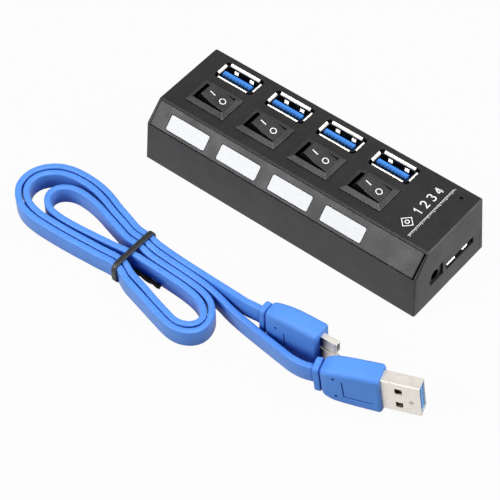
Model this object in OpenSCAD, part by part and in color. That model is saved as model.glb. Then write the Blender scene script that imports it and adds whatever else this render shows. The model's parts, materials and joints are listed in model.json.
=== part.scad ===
// Four-port USB 3.0 hub with a rocker switch, a lit window and a vertical
// socket for every port, and its flat lead lying tied up beside it.
// Origin: middle of the hub's footprint, on the surface that it stands on.
// +X points to the end with the power and data inlets, -Y to the sloped side.

/* [Case] */
// Length of the case at its base
case_len = 104; // [100:1:120]
// Width of the case at its base
case_wid = 34.8; // [34:0.2:40]
// Height of the case
case_h = 21.3; // [20.4:0.1:24]
// How far each end leans in by the top
end_draft = 1; // [0:0.1:1.6]
// How far the front wall leans in by the foot of the slope
front_draft = 0.95; // [0:0.05:1.4]
// How far the back wall leans in by the top
back_draft = 0.45; // [0:0.05:1]
// Height of the foot of the sloped side
slope_foot = 14.8; // [13:0.1:15.5]
// Depth of the sloped side, front to back
slope_run = 6.3; // [5.5:0.1:7]
// Thickness of the case walls
wall = 1.8; // [1.4:0.1:2.2]
// Radius of the upright corners
corner_r = 0.6; // [0.4:0.1:1.6]
// Bevel along the top edges
top_bevel = 0.4; // [0.2:0.1:0.8]
// Height of the tab on the bottom cover that closes the inlets
tab_h = 8.9; // [8.9:0.1:10]
// Seam between case pieces
seam = 0.12; // [0.08:0.01:0.2]

/* [Sloped panel] */
// Thickness of the sloped panel
panel_t = 1.6; // [1.2:0.1:2]
// Open groove at the panel's inlet end
panel_groove = 0.6; // [0.3:0.1:0.9]
// Width of the groove along the panel's foot
foot_groove = 0.3; // [0.2:0.05:0.5]
// Depth of the groove along the panel's foot
foot_groove_depth = 0.4; // [0.3:0.05:0.8]
// Length of a lit window
window_len = 15; // [12:0.2:16]
// Width of a lit window, down the slope
window_wid = 5; // [4:0.1:5.4]
// Distance from the top of the slope to a window
window_drop = 2.75; // [2:0.05:3]
// Gap round a window
window_gap = 0.15; // [0.05:0.05:0.25]
// Rim of a window behind the panel
window_rim = 0.8; // [0.5:0.1:1.2]

/* [Ports] */
// Space from the far end to the middle of the first port
far_space = 15.1; // [14.8:0.05:16]
// Space from the inlets' end to the middle of the last port
inlet_space = 29.2; // [29:0.05:31]
// Middle of the sockets, front to back
socket_y = 11.1; // [10.6:0.1:11.4]
// Length of a socket's mouth
mouth_len = 12.5; // [12.4:0.05:12.6]
// Width of a socket's mouth
mouth_wid = 5.12; // [5.1:0.02:5.2]
// Thickness of the sockets' sheet metal
sheet = 0.3; // [0.25:0.01:0.35]
// Reach of the flared lips
lip = 0.75; // [0.5:0.05:0.8]
// How far the lips stand above the case
lip_rise = 0.25; // [0.1:0.05:0.5]
// Width of the blue tongue
tongue_len = 11.1; // [10.8:0.05:11.4]
// Thickness of the blue tongue
tongue_t = 1.84; // [1.7:0.02:1.9]
// Gap in front of the tongue
tongue_gap = 0.72; // [0.6:0.02:0.8]

/* [Switches] */
// Middle of the switches, front to back
switch_y = -0.9; // [-1.2:0.1:-0.6]
// Length of a switch's flange
flange_len = 15; // [14.6:0.1:15.6]
// Width of a switch's flange
flange_wid = 10.4; // [10.2:0.1:10.8]
// Height of the flange's inner edge
flange_h = 1.1; // [0.8:0.1:1.6]
// Width of the flange's sloped border
flange_border = 1.75; // [1.6:0.05:1.85]
// Length of the switch body below the flange
body_len = 13.2; // [12.8:0.1:13.4]
// Width of the switch body below the flange
body_wid = 8.7; // [8.5:0.1:8.8]
// Depth of the switch body below the flange
body_depth = 11.8; // [11:0.1:12.4]
// Depth of the rocker's axis below the case top
axis_drop = 2.2; // [2:0.1:2.4]
// Angle the rocker turns through
throw = 36; // [30:1:38]
// Radius of the rocker's trunnions
trunnion_r = 0.9; // [0.7:0.05:1]
// Running gap round a trunnion
trunnion_gap = 0.05; // [0.03:0.01:0.1]

/* [Circuit board] */
// Height of the board's top face
board_top = 6.3; // [6.2:0.05:6.4]
// Thickness of the board
board_t = 1.6; // [1:0.1:1.6]
// Gap between the board and the case
board_gap = 0.5; // [0.3:0.1:0.8]
// Radius of the case screws
screw_r = 1; // [0.8:0.05:1.1]

/* [Inlets] */
// Middle of the power jack, front to back
jack_y = -6.2; // [-6.6:0.1:-6]
// Radius of the power jack's bore
jack_r = 1.75; // [1.7:0.05:1.8]
// Radius of the power jack's centre pin
jack_pin_r = 0.65; // [0.5:0.05:0.7]
// Middle of the data inlet, front to back
inlet_y = 5.45; // [5.2:0.05:5.8]
// How far the inlets sit behind the end face
inlet_sink = 0.7; // [0.5:0.05:0.9]

/* [Lead] */
// Width of the flat lead
lead_wid = 6.5; // [6:0.1:7]
// Thickness of the flat lead
lead_t = 2.1; // [1.8:0.05:2.2]
// Length of metal that the large plug shows
plug_a_reach = 11.5; // [11:0.5:18]
// Length of metal that the small plug shows
plug_b_reach = 5.4; // [5:0.1:6.5]

/* [Hidden] */
$fn = 48;
eps = 0.01;
big = 400;

case_black = [0.16, 0.16, 0.17];
socket_steel = [0.85, 0.85, 0.87];
tongue_blue = [0.1, 0.35, 0.85];
lead_blue = [0.25, 0.5, 0.95];
contact_gold = [0.85, 0.68, 0.3];

// ---- places shared by the pieces -------------------------------------------------

half_len = case_len / 2;
port_pitch = (case_len - far_space - inlet_space) / 3;

function port_x(k) = -half_len + far_space + (k - 1) * port_pitch;

half_wid = case_wid / 2;
slope_rise = case_h - slope_foot;
slope_len = norm([slope_run, slope_rise]);
slope_angle = atan2(slope_rise, slope_run);
slope_top_y = -half_wid + front_draft + slope_run;

function end_x(z) = half_len - end_draft * z / case_h;
function back_y(z) = half_wid - back_draft * z / case_h;
function front_y(z) = z <= slope_foot
    ? -half_wid + front_draft * z / slope_foot
    : -half_wid + front_draft + slope_run * (z - slope_foot) / slope_rise;

// A rectangle with rounded corners, as a list of points.
function round_rect(x0, x1, y0, y1, r, steps = 5) = [
    for (c = [[x1 - r, y1 - r, 0], [x0 + r, y1 - r, 90], [x0 + r, y0 + r, 180], [x1 - r, y0 + r, 270]])
        for (i = [0:steps])
            [c[0] + r * cos(c[2] + 90 * i / steps), c[1] + r * sin(c[2] + 90 * i / steps)]
];

// Places children on the sloped side: X along the case, Y up the slope from the
// slope's top edge (so negative down it), Z out of it.
module on_slope() {
    translate([0, slope_top_y, case_h]) rotate([slope_angle, 0, 0]) children();
}

// ---- case -----------------------------------------------------------------------

module case_level(z, inset) {
    translate([0, 0, z])
        linear_extrude(eps)
            polygon(round_rect(
                -end_x(z) + inset, end_x(z) - inset, front_y(z) + inset, back_y(z) - inset,
                max(corner_r - inset, 0.3)));
}

// The outer form of the case.
module case_form() {
    hull() {
        case_level(0, 0);
        case_level(slope_foot, 0);
        case_level(case_h - top_bevel, 0);
        case_level(case_h - eps, top_bevel);
    }
}

// A point of the sloped side's own frame, as case depth and height.
function slope_point(up, out) = [
    slope_top_y + up * cos(slope_angle) - out * sin(slope_angle),
    case_h + up * sin(slope_angle) + out * cos(slope_angle)
];

panel_x0 = -end_x(case_h) + wall / 2;
panel_x1 = end_x(case_h) - wall * 0.3 - panel_groove;
panel_top = top_bevel + seam;
room_half = end_x(case_h) - wall;
room_top = case_h - wall;
ledge = slope_point(-1.8, -panel_t);

// The room inside the walls, with ledges behind the panel's top and foot.
module case_room() {
    rotate([90, 0, 90])
        linear_extrude(2 * room_half, center = true)
            polygon([
                [front_y(0) + wall + 0.2, -1],
                slope_point(-slope_len + 0.5, -panel_t), slope_point(-slope_len + 0.5, 0),
                slope_point(-1.8, 0), ledge, ledge + [0.9, -0.5], [ledge[0] + 1.9, room_top],
                [back_y(case_h) - wall, room_top], [back_y(case_h) - wall, -1]
            ]);
}

tab_half = half_wid - wall;

// What the bottom cover fills: a plate between the walls, and the end tab.
module cover_form(gap) {
    translate([-half_len + wall - gap, -tab_half - gap, -eps])
        cube([2 * half_len, 2 * (tab_half + gap), wall + gap + eps]);
    translate([room_half - gap, -tab_half - gap, -eps])
        cube([half_len, 2 * (tab_half + gap), tab_h + gap + eps]);
}

socket_hole_len = mouth_len + 2 * (sheet + lip) + 0.3;
socket_hole_wid = mouth_wid + 2 * (sheet + lip) + 0.3;
led_x = end_x(case_h) - 5.2;
led_y = back_y(case_h) - 3.75;
led_r = 0.55;
jack_wid = 6;
jack_h = 5;
jack_len = 12.2;
jack_z = board_top + jack_r + 0.2;
jack_face = end_x(jack_z) - inlet_sink;
inlet_wid = 12.8;
inlet_h = 2.35;
inlet_len = 6.4;
inlet_face = end_x(board_top) - inlet_sink;
boss_r = 2.3;
boss_gap = 0.4;
boss_far_x = -room_half + boss_r + 0.1;
boss_near_x = jack_face - jack_len - boss_r - boss_gap;
boss_back_y = socket_y + 0.9;
boss_front_y = slope_top_y + 2.3;
boss_places = [
    [boss_far_x, boss_back_y], [boss_near_x, boss_back_y],
    [boss_far_x, boss_front_y], [boss_near_x, boss_front_y]
];

hole_gap = 0.15;

module inlet_cutouts() {
    // power jack
    translate([half_len - 2 * wall, jack_y - jack_wid / 2 - 0.3, board_top - 0.15])
        cube([3 * wall, jack_wid + 0.6, jack_h + 0.4]);
    // data inlet
    translate([half_len - 2 * wall, inlet_y - inlet_wid / 2 - 0.45, board_top - 0.1])
        cube([3 * wall, inlet_wid + 0.9, inlet_h + 0.25]);
}

screw_len = 9;

module housing() {
    color(case_black)
        difference() {
            union() {
                difference() {
                    case_form();
                    case_room();
                }
                for (p = boss_places)
                    translate([p[0], p[1], board_top])
                        cylinder(r = boss_r, h = case_h - wall / 2 - board_top);
            }
            // seat of the sloped panel
            on_slope()
                translate([panel_x0 - seam, -slope_len, -panel_t])
                    cube([
                        panel_x1 + panel_groove - panel_x0 + seam,
                        slope_len - panel_top + seam, 3 * panel_t]);
            cover_form(seam);
            inlet_cutouts();
            for (k = [1:4]) {
                translate([port_x(k), socket_y, case_h - wall - 1])
                    linear_extrude(wall + 2)
                        polygon(round_rect(
                            -socket_hole_len / 2, socket_hole_len / 2,
                            -socket_hole_wid / 2, socket_hole_wid / 2, 1.1));
                translate([port_x(k), switch_y, case_h])
                    cube([body_len + 2 * hole_gap, body_wid + 2 * hole_gap, 2 * wall + 2], center = true);
            }
            for (p = boss_places)
                translate([p[0], p[1], board_top - 1])
                    cylinder(r = screw_r + 0.03, h = screw_len);
            translate([led_x, led_y, case_h - 3 * wall])
                cylinder(r = led_r, h = 4 * wall);
        }
}

screw_head_r = 1.9;
screw_head_h = 1.2;

module bottom_cover() {
    color(case_black)
        difference() {
            union() {
                intersection() {
                    case_form();
                    cover_form(0);
                }
                for (p = boss_places)
                    translate([p[0], p[1], wall / 2])
                        cylinder(r = boss_r, h = board_top - board_t - wall / 2);
                // ribs that stiffen the plate
                for (y = [-9, 0, 9])
                    translate([-half_len + 3 * wall, y - 0.5, wall / 2])
                        cube([2 * half_len - 6 * wall, 1, wall / 2 + 1]);
            }
            inlet_cutouts();
            for (p = boss_places) {
                translate([p[0], p[1], -1])
                    cylinder(r = screw_r + 0.15, h = board_top);
                translate([p[0], p[1], -1])
                    cylinder(r = screw_head_r + 0.2, h = 1 + screw_head_h + 0.2);
            }
        }
}

module case_screws() {
    color("silver")
        for (p = boss_places)
            translate([p[0], p[1], 0.2])
                difference() {
                    union() {
                        cylinder(r = screw_head_r, h = screw_head_h);
                        cylinder(r = screw_r, h = screw_head_h + screw_len);
                        translate([0, 0, screw_head_h + screw_len])
                            cylinder(r1 = screw_r, r2 = 0.2, h = 1.2);
                    }
                    for (a = [0, 90])
                        rotate([0, 0, a]) translate([-1.2, -0.2, -eps]) cube([2.4, 0.4, 0.6]);
                }
}

// ---- sloped panel and windows ---------------------------------------------------

module window_shape(gap) {
    polygon(round_rect(
        -window_len / 2 - gap, window_len / 2 + gap,
        -window_drop - window_wid - gap, -window_drop + gap, 0.6 + gap));
}

module sloped_panel() {
    color(case_black)
        on_slope()
            difference() {
                union() {
                    translate([panel_x0, -slope_len + foot_groove, -panel_t])
                        cube([panel_x1 - panel_x0, slope_len - foot_groove - panel_top, panel_t]);
                    // floor of the groove along its foot
                    translate([panel_x0, -slope_len + seam / 2, -panel_t])
                        cube([panel_x1 - panel_x0, foot_groove, panel_t - foot_groove_depth]);
                }
                for (k = [1:4])
                    translate([port_x(k), 0, -panel_t - 1])
                        linear_extrude(panel_t + 2) window_shape(window_gap);
            }
}

rim_side = 0.6;
rim_foot = 0.3;

module light_window(k) {
    color("white")
        on_slope()
            translate([port_x(k), 0, 0]) {
                translate([0, 0, -panel_t]) linear_extrude(panel_t) window_shape(0);
                translate([0, 0, -panel_t - window_rim])
                    linear_extrude(window_rim)
                        polygon(round_rect(
                            -window_len / 2 - rim_side, window_len / 2 + rim_side,
                            -window_drop - window_wid - rim_foot, -window_drop + rim_side, 0.8));
            }
}

// ---- circuit board --------------------------------------------------------------

board_x = room_half - board_gap;
board_y0 = front_y(board_top) + wall + board_gap;
board_y1 = back_y(board_top) - wall - board_gap;
terminal_t = 0.6;
terminal_wid = 1.6;
terminal_places = [-4.2, 0, 4.2];

module circuit_board() {
    color("darkgreen")
        translate([0, 0, board_top - board_t])
            difference() {
                translate([-board_x, board_y0, 0]) cube([2 * board_x, board_y1 - board_y0, board_t]);
                for (p = boss_places)
                    translate([p[0], p[1], -1]) cylinder(r = screw_r + 0.2, h = board_t + 2);
                for (k = [1:4])
                    for (t = terminal_places)
                        translate([port_x(k) + t, switch_y, board_t / 2])
                            cube([
                                terminal_t + 2 * hole_gap, terminal_wid + 2 * hole_gap,
                                board_t + 2], center = true);
            }
}

chip_x = boss_near_x - 1.1;
chip_side = 6;
chip_h = 0.9;
lead_out = 0.7;

module hub_controller() {
    translate([chip_x, switch_y, board_top]) {
        color([0.1, 0.1, 0.1])
            translate([-chip_side / 2, -chip_side / 2, 0]) cube([chip_side, chip_side, chip_h]);
        color("silver")
            for (i = [-3:3])
                for (s = [-1, 1])
                    translate([s * chip_side / 2 - lead_out / 2 + s * 0.3, i * 0.8 - 0.15, 0])
                        cube([lead_out, 0.3, 0.3]);
    }
}

module crystal() {
    color("silver")
        translate([chip_x, socket_y - chip_side, board_top])
            linear_extrude(1)
                polygon(round_rect(-1.6, 1.6, -1.25, 1.25, 0.3));
}

can_r = 2;
can_h = 5.4;
can_base = 4.3;
can_gap = 0.6;
can_x = boss_near_x + boss_r + can_gap + can_base / 2;
can_y = inlet_y + inlet_wid / 2 - can_base / 2 - 0.1;

module capacitors() {
    color([0.75, 0.75, 0.78])
        for (y = [can_y, can_y - can_base - can_gap])
            translate([can_x, y, board_top]) {
                translate([-can_base / 2, -can_base / 2, 0]) cube([can_base, can_base, 0.8]);
                cylinder(r = can_r, h = can_h);
            }
}

led_len = 3.2;
led_wid = 2.8;
led_h = 1.9;

module small_led(x, y) {
    translate([x, y, board_top]) {
        difference() {
            translate([-led_len / 2, -led_wid / 2, 0]) cube([led_len, led_wid, led_h]);
            translate([0, 0, led_h - 0.6]) cylinder(r1 = 0.8, r2 = 1.1, h = 1);
        }
    }
}

module port_leds() {
    color("ivory")
        for (k = [1:4]) small_led(port_x(k), board_y0 + led_wid / 2 + 1.8);
}

module power_led() {
    color("ivory") small_led(led_x - 0.6, inlet_y + inlet_wid / 2 + led_wid / 2 + 0.15);
}

// ---- vertical sockets -----------------------------------------------------------

shell_len = mouth_len + 2 * sheet;
shell_wid = mouth_wid + 2 * sheet;
lip_top = case_h + lip_rise;
shell_top = lip_top - lip;

spring_x = 3.05;
spring_wid = 1.7;
spring_drop = 1.1;
spring_rise = 1.45;
spring_reach = 0.5;

module lip_strip(side_len) {
    // a sheet-metal lip that leans out at 45 degrees from the shell's edge
    rotate([90, 0, 90])
        translate([0, 0, -side_len / 2])
            linear_extrude(side_len)
                polygon([[0, 0], [sheet, -sheet], [sheet + lip, lip - sheet], [lip, lip]]);
}

module usb_shell(k) {
    color(socket_steel)
        translate([port_x(k), socket_y, 0]) {
            difference() {
                translate([0, 0, board_top])
                    linear_extrude(shell_top - board_top)
                        polygon(round_rect(
                            -shell_len / 2, shell_len / 2, -shell_wid / 2, shell_wid / 2, 0.6));
                translate([0, 0, board_top - 1])
                    linear_extrude(case_h)
                        polygon(round_rect(
                            -mouth_len / 2, mouth_len / 2, -mouth_wid / 2, mouth_wid / 2, 0.35));
            }
            for (s = [0, 180])
                rotate([0, 0, s]) {
                    translate([0, mouth_wid / 2, shell_top]) lip_strip(mouth_len - 1.1);
                    rotate([0, 0, 90])
                        translate([0, mouth_len / 2, shell_top]) lip_strip(mouth_wid - 1.1);
                }
            // contact springs on the back wall
            for (x = [-spring_x, spring_x])
                translate([x, mouth_wid / 2, case_h - spring_drop])
                    rotate([90, 0, 90])
                        linear_extrude(spring_wid, center = true)
                            polygon([
                                [sheet / 2, 0], [0, 0], [-spring_reach, -spring_rise],
                                [0, -spring_rise - 0.3], [sheet / 2, -spring_rise - 0.3]
                            ]);
        }
}

base_h = 4.5;
fit = 0.04;

module usb_tongue(k) {
    color(tongue_blue)
        translate([port_x(k), socket_y, board_top]) {
            translate([-mouth_len / 2 + fit, -mouth_wid / 2 + fit, 0])
                linear_extrude(base_h)
                    polygon(round_rect(0, mouth_len - 2 * fit, 0, mouth_wid - 2 * fit, 0.35));
            translate([-tongue_len / 2, -mouth_wid / 2 + tongue_gap, base_h / 2])
                difference() {
                    cube([tongue_len, tongue_t, lip_top - 0.45 - board_top - base_h / 2]);
                    // lead-in along the tongue's end
                    translate([-1, tongue_t, lip_top - 0.45 - board_top - base_h / 2])
                        rotate([45, 0, 0]) cube([tongue_len + 2, 0.5, 0.5], center = false);
                }
        }
}

tongue_back = -mouth_wid / 2 + tongue_gap + tongue_t;

module usb_contacts(k) {
    color(contact_gold)
        translate([port_x(k), socket_y + tongue_back, board_top + base_h]) {
            for (x = [-3.5, -1, 1, 3.5])
                translate([x - 0.5, 0, 0]) cube([1, 0.18, lip_top - board_top - base_h - 3.4]);
            for (x = [-4, -2, 0, 2, 4])
                translate([x - 0.3, 0, lip_top - board_top - base_h - 2.6]) cube([0.6, 0.18, 1.3]);
        }
}

// ---- rocker switches ------------------------------------------------------------

open_len = flange_len - 2 * flange_border;
open_wid = flange_wid - 2 * flange_border;
axis_z = case_h - axis_drop;
rocker_wid = open_wid - 0.4;
rocker_tip_x = 4.34;
rocker_tip_z = 4.77;
rocker_dip_z = 4.45;
crown = [5.1, 2.4];
flank = [4.8, 0.4];
heel = [2.3, -2.3];
shoulder_z = 3.7;
shoulder_in = 0.4;
trunnion_reach = 0.55;
well_depth = 5.6;

module switch_housing(k) {
    color([0.12, 0.12, 0.12])
        translate([port_x(k), switch_y, case_h])
            difference() {
                union() {
                    // flange with sloped borders
                    hull() {
                        translate([-flange_len / 2, -flange_wid / 2, 0]) cube([flange_len, flange_wid, 0.35]);
                        translate([-open_len / 2 - 0.05, -open_wid / 2 - 0.05, 0])
                            cube([open_len + 0.1, open_wid + 0.1, flange_h]);
                    }
                    translate([-body_len / 2, -body_wid / 2, -body_depth])
                        cube([body_len, body_wid, body_depth + 0.1]);
                    // snap wings under the case top
                    for (s = [-1, 1])
                        translate([s * body_len / 2, 0, -wall - 0.05])
                            rotate([90, 0, 0])
                                linear_extrude(3, center = true)
                                    polygon([[-s * 0.3, 0], [s * 0.55, 0], [0, -2.4], [-s * 0.3, -2.4]]);
                }
                translate([-open_len / 2, -open_wid / 2, -well_depth])
                    cube([open_len, open_wid, well_depth + 3]);
                translate([0, 0, -axis_drop])
                    rotate([90, 0, 0])
                        cylinder(
                            r = trunnion_r + trunnion_gap,
                            h = open_wid + 2 * (trunnion_reach + 0.05), center = true);
                for (t = terminal_places)
                    translate([t - terminal_t / 2, -terminal_wid / 2, -body_depth - 1])
                        cube([terminal_t, terminal_wid, body_depth - well_depth + 2]);
            }
}

// The rocker in its middle position, about its own axis.
module rocker_form() {
    intersection() {
        rotate([90, 0, 0])
            linear_extrude(rocker_wid, center = true)
                polygon([
                    [-rocker_tip_x, rocker_tip_z], [0, rocker_dip_z], [rocker_tip_x, rocker_tip_z],
                    crown, flank, heel, [-heel[0], heel[1]], [-flank[0], flank[1]], [-crown[0], crown[1]]
                ]);
        rotate([90, 0, 90])
            linear_extrude(flange_len, center = true)
                polygon([
                    [-rocker_wid / 2, -axis_drop - 1], [rocker_wid / 2, -axis_drop - 1],
                    [rocker_wid / 2, shoulder_z], [rocker_wid / 2 - shoulder_in, rocker_tip_z + 0.1],
                    [-rocker_wid / 2 + shoulder_in, rocker_tip_z + 0.1], [-rocker_wid / 2, shoulder_z]
                ]);
    }
    rotate([90, 0, 0])
        cylinder(r = trunnion_r, h = open_wid + 2 * trunnion_reach, center = true);
}

module rocker(k) {
    color([0.2, 0.2, 0.2])
        translate([port_x(k), switch_y, axis_z])
            rotate([0, throw / 2, 0]) rocker_form();
}

module switch_terminals(k) {
    color(contact_gold)
        translate([port_x(k), switch_y, 0])
            for (t = terminal_places)
                translate([t - terminal_t / 2, -terminal_wid / 2, board_top - board_t - 0.6])
                    cube([terminal_t, terminal_wid, case_h - well_depth - board_top + board_t + 0.6 + 0.4]);
}

// ---- power jack -----------------------------------------------------------------

bore_len = 9.5;
spring_back = 8.2;
slot_len = 5;

module dc_jack_body() {
    color([0.13, 0.13, 0.13])
        difference() {
            translate([jack_face - jack_len, jack_y - jack_wid / 2, board_top])
                cube([jack_len, jack_wid, jack_h]);
            translate([jack_face - bore_len, jack_y, jack_z])
                rotate([0, 90, 0]) cylinder(r = jack_r, h = bore_len + 1);
            // slot that the spring works through
            translate([jack_face - spring_back, jack_y - 0.9, jack_z]) cube([slot_len, 1.8, jack_h]);
        }
}

module dc_jack_pin() {
    color(contact_gold)
        translate([jack_face - bore_len, jack_y, jack_z])
            rotate([0, 90, 0]) {
                cylinder(r = jack_pin_r, h = bore_len - 2);
                translate([0, 0, bore_len - 2]) cylinder(r1 = jack_pin_r, r2 = jack_pin_r * 0.5, h = 0.5);
            }
}

module dc_jack_spring() {
    color(socket_steel)
        translate([jack_face - spring_back, jack_y, jack_z])
            rotate([90, 0, 0])
                linear_extrude(1.5, center = true)
                    polygon([
                        [0, 3.25], [0, 2.3], [2.6, 1.25], [3.4, 1.25], [slot_len, 2],
                        [slot_len, 2.25], [3.35, 1.5], [2.7, 1.5], [0.3, 2.5], [0.3, 3.25]
                    ]);
}

// ---- data inlet -----------------------------------------------------------------

inlet_sheet = 0.25;
small_open = 4.4;
large_open = inlet_wid - small_open - 3 * inlet_sheet;
large_y = -inlet_wid / 2 + inlet_sheet;
small_y = large_y + large_open + inlet_sheet;
open_h = inlet_h - 2 * inlet_sheet;
cut_y = 0.8;
cut_z = 0.6;
// start and length of the flared lip in each opening
flares = [[large_y + 0.87, 4.1], [small_y + 0.6, 2.5]];
flare_in = 0.17;
flare_run = 0.35;

// Faces of the large opening with its cut corners (towards -Y) and the small one.
module inlet_openings() {
    polygon([
        [large_y, open_h], [large_y, cut_z], [large_y + cut_y, 0],
        [large_y + large_open - cut_y, 0], [large_y + large_open, cut_z], [large_y + large_open, open_h]
    ]);
    translate([small_y, 0]) square([small_open, open_h]);
}

// Places children at the inlet's back, on the floor of its openings.
module in_inlet() {
    translate([inlet_face - inlet_len, inlet_y, board_top + inlet_sheet]) children();
}

module micro_b_shell() {
    color(socket_steel) {
        difference() {
            translate([inlet_face - inlet_len, inlet_y - inlet_wid / 2, board_top])
                cube([inlet_len, inlet_wid, inlet_h]);
            in_inlet() translate([1, 0, 0]) rotate([90, 0, 90]) linear_extrude(inlet_len) inlet_openings();
            for (s = flares)
                translate([inlet_face - flare_in - flare_run, inlet_y + s[0], board_top - 1])
                    cube([1, s[1], 1 + inlet_sheet + eps]);
        }
        for (s = flares)
            translate([inlet_face - flare_in, inlet_y + s[0] + s[1], board_top])
                rotate([90, 0, 0])
                    linear_extrude(s[1])
                        polygon([
                            [0, 0], [-flare_run, flare_run],
                            [-flare_run - 0.1, flare_run], [-flare_run - 0.1, 0]
                        ]);
    }
}

module micro_b_tongue() {
    color([0.15, 0.15, 0.16])
        in_inlet() {
            for (s = [[small_y + 0.4, small_open - 0.8], [large_y + 1.2, large_open - 2.4]])
                translate([1, s[0], 0.75]) cube([inlet_len - 1.6, s[1], 0.55]);
            for (s = [[small_y + fit, small_open - 2 * fit], [large_y + 0.9, large_open - 1.8]])
                translate([1, s[0], fit]) cube([1, s[1], open_h - 2 * fit]);
        }
}

module micro_b_contacts() {
    color(contact_gold)
        in_inlet()
            for (i = [0:4]) {
                translate([2, small_y + 0.65 + i * 0.7, 0.63]) cube([3.2, 0.32, 0.12]);
                translate([2, large_y + 1.65 + i, 0.63]) cube([3.2, 0.4, 0.12]);
            }
}

// ---- lead -----------------------------------------------------------------------

lead_bevel = 0.5;

// Where the plugs lie: the middle of the grip's front, and how it turns and pitches up.
plug_a_place = [64.3, -48.5, 8.2];
plug_a_turn = 18;
plug_a_pitch = 5.8;
plug_b_place = [42, -47.9, 8.3];
plug_b_turn = 3.5;
plug_a_len = 17.8;
plug_b_len = 18.2;
collar_len = 2.6;
lead_gap = 0.05;
end_run = 1.8;

// A point on a plug's own line, behind the middle of its front.
function behind(place, turn, pitch, back) =
    place - back * [cos(turn) * cos(pitch), sin(turn) * cos(pitch), sin(pitch)];

plug_a_end = plug_a_len + collar_len + lead_gap;
plug_b_end = plug_b_len + collar_len + lead_gap;

// Middle line of the run to the small plug, from the plug to the tie.
device_route = [
    behind(plug_b_place, plug_b_turn, 0, plug_b_end),
    behind(plug_b_place, plug_b_turn, 0, plug_b_end + end_run),
    [15.4, -49.5, 6.5], [11.2, -48.6, 5.1], [6.6, -47.6, 4], [1.5, -46.9, 3.35],
    [-4, -46.6, 3.25], [-10, -46.5, 3.25], [-16, -46.3, 3.25], [-21, -46, 3.25], [-24.2, -45.8, 3.25]
];
// Middle line of the run to the large plug, from the plug to the tie.
host_route = [
    behind(plug_a_place, plug_a_turn, plug_a_pitch, plug_a_end),
    behind(plug_a_place, plug_a_turn, plug_a_pitch, plug_a_end + end_run),
    [41, -55.9, 5.75], [37.3, -56.1, 5.2], [33, -55.4, 4.4], [28, -54.4, 3.7],
    [23, -53.4, 3.3], [17, -52.5, 3.25], [11, -51.5, 3.25], [5.5, -50.2, 3.25], [0, -49.3, 3.25],
    [-6, -48.9, 3.25], [-13, -48.7, 3.25], [-20, -48.3, 3.25], [-24.2, -48.1, 3.25]
];
tie_wid = 2.2;
tie_t = 0.7;
tie_out = 0.4;
tie_gap = 0.1;
tie_edge = -24.2;
tie_x = tie_edge - tie_gap - tie_wid / 2;
waist_low = -61.2;
waist_high = -44.8;

// Direction of a route at one of its points; its last point faces the tie.
function route_along(route, i, last) = let (
        d = i == last ? [-1, 0, 0] : route[i + 1] - route[max(i - 1, 0)]
    ) d / norm(d);

// One section of the flat lead, square to the route: a bar with bevelled edges,
// standing on edge.
function lead_section(p, along) = let (
        half_t = lead_t / 2, half_w = lead_wid / 2, b = lead_bevel,
        across = [-along[1], along[0], 0] / norm([along[0], along[1]]),
        up = cross(along, across)
    ) [
        for (q = [
            [-half_t, -half_w + b], [-half_t + b, -half_w], [half_t - b, -half_w], [half_t, -half_w + b],
            [half_t, half_w - b], [half_t - b, half_w], [-half_t + b, half_w], [-half_t, half_w - b]
        ]) p + q[0] * across + q[1] * up
    ];

module swept_lead(route) {
    last = len(route) - 1;
    rings = [for (i = [0:last]) lead_section(route[i], route_along(route, i, last))];
    points = [for (r = rings) for (p = r) p];
    sides = [
        for (i = [0:last - 1]) for (j = [0:7])
            [i * 8 + j, (i + 1) * 8 + j, (i + 1) * 8 + (j + 1) % 8, i * 8 + (j + 1) % 8]
    ];
    polyhedron(points, concat(
        sides, [[for (j = [0:7]) j]], [[for (j = [7:-1:0]) last * 8 + j]]));
}

module lead_device_run() {
    color(lead_blue) swept_lead(device_route);
}

module lead_host_run() {
    color(lead_blue) swept_lead(host_route);
}

function arc(c, r, a0, a1, steps = 10) = [
    for (i = [0:steps]) c + r * [cos(a0 + (a1 - a0) * i / steps), sin(a0 + (a1 - a0) * i / steps)]
];

// Outline of the folded bundle: the tall bight on the left, the waist at the tie
// and the low bight on the right.
hank_outline = concat(
    [[tie_edge, waist_high], [tie_x - tie_wid / 2 - tie_gap, waist_high], [-40.8, -40.9], [-51, -38.5]],
    arc([-61.3, -49.6], 11.4, 75, 240),
    [[-51, -62.2], [-34.7, waist_low], [tie_edge, waist_low], [-10.5, -66.9]],
    arc([-0.3, -59.8], 9.9, 250, 400),
    [[0.3, -50.7], [-10, -50.1], [tie_edge, -49.9]]
);

module lead_hank() {
    color(lead_blue)
        difference() {
            linear_extrude(lead_wid) polygon(hank_outline);
            translate([tie_x - tie_wid / 2 - tie_gap, -big / 2, -1])
                cube([tie_wid + 2 * tie_gap, big, 1 + tie_t + tie_gap / 2]);
        }
}

module lead_tie() {
    color([0.2, 0.2, 0.2])
        translate([tie_x - tie_wid / 2, 0, 0])
            rotate([90, 0, 90])
                linear_extrude(tie_wid)
                    difference() {
                        polygon(round_rect(
                            waist_low - tie_out - tie_t, waist_high + tie_out + tie_t,
                            0, lead_wid + 2 * tie_t + tie_gap, 1.2));
                        polygon(round_rect(
                            waist_low - tie_out, waist_high + tie_out,
                            tie_t, lead_wid + tie_t + tie_gap, 0.3));
                    }
}

// ---- plugs ----------------------------------------------------------------------

module at_plug_a() {
    translate(plug_a_place) rotate([0, -plug_a_pitch, plug_a_turn]) children();
}

module at_plug_b() {
    translate(plug_b_place) rotate([0, 0, plug_b_turn]) children();
}

// A thin slice of a grip: along the plug at a, h tall and t thick.
module grip_slice(a, h, t, r) {
    translate([a, 0, 0])
        rotate([90, 0, 90])
            linear_extrude(eps) polygon(round_rect(-t / 2, t / 2, -h / 2, h / 2, r, 4));
}

plug_a_wid = 12;
plug_a_t = 4.5;
plug_tail = 2.5;

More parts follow.
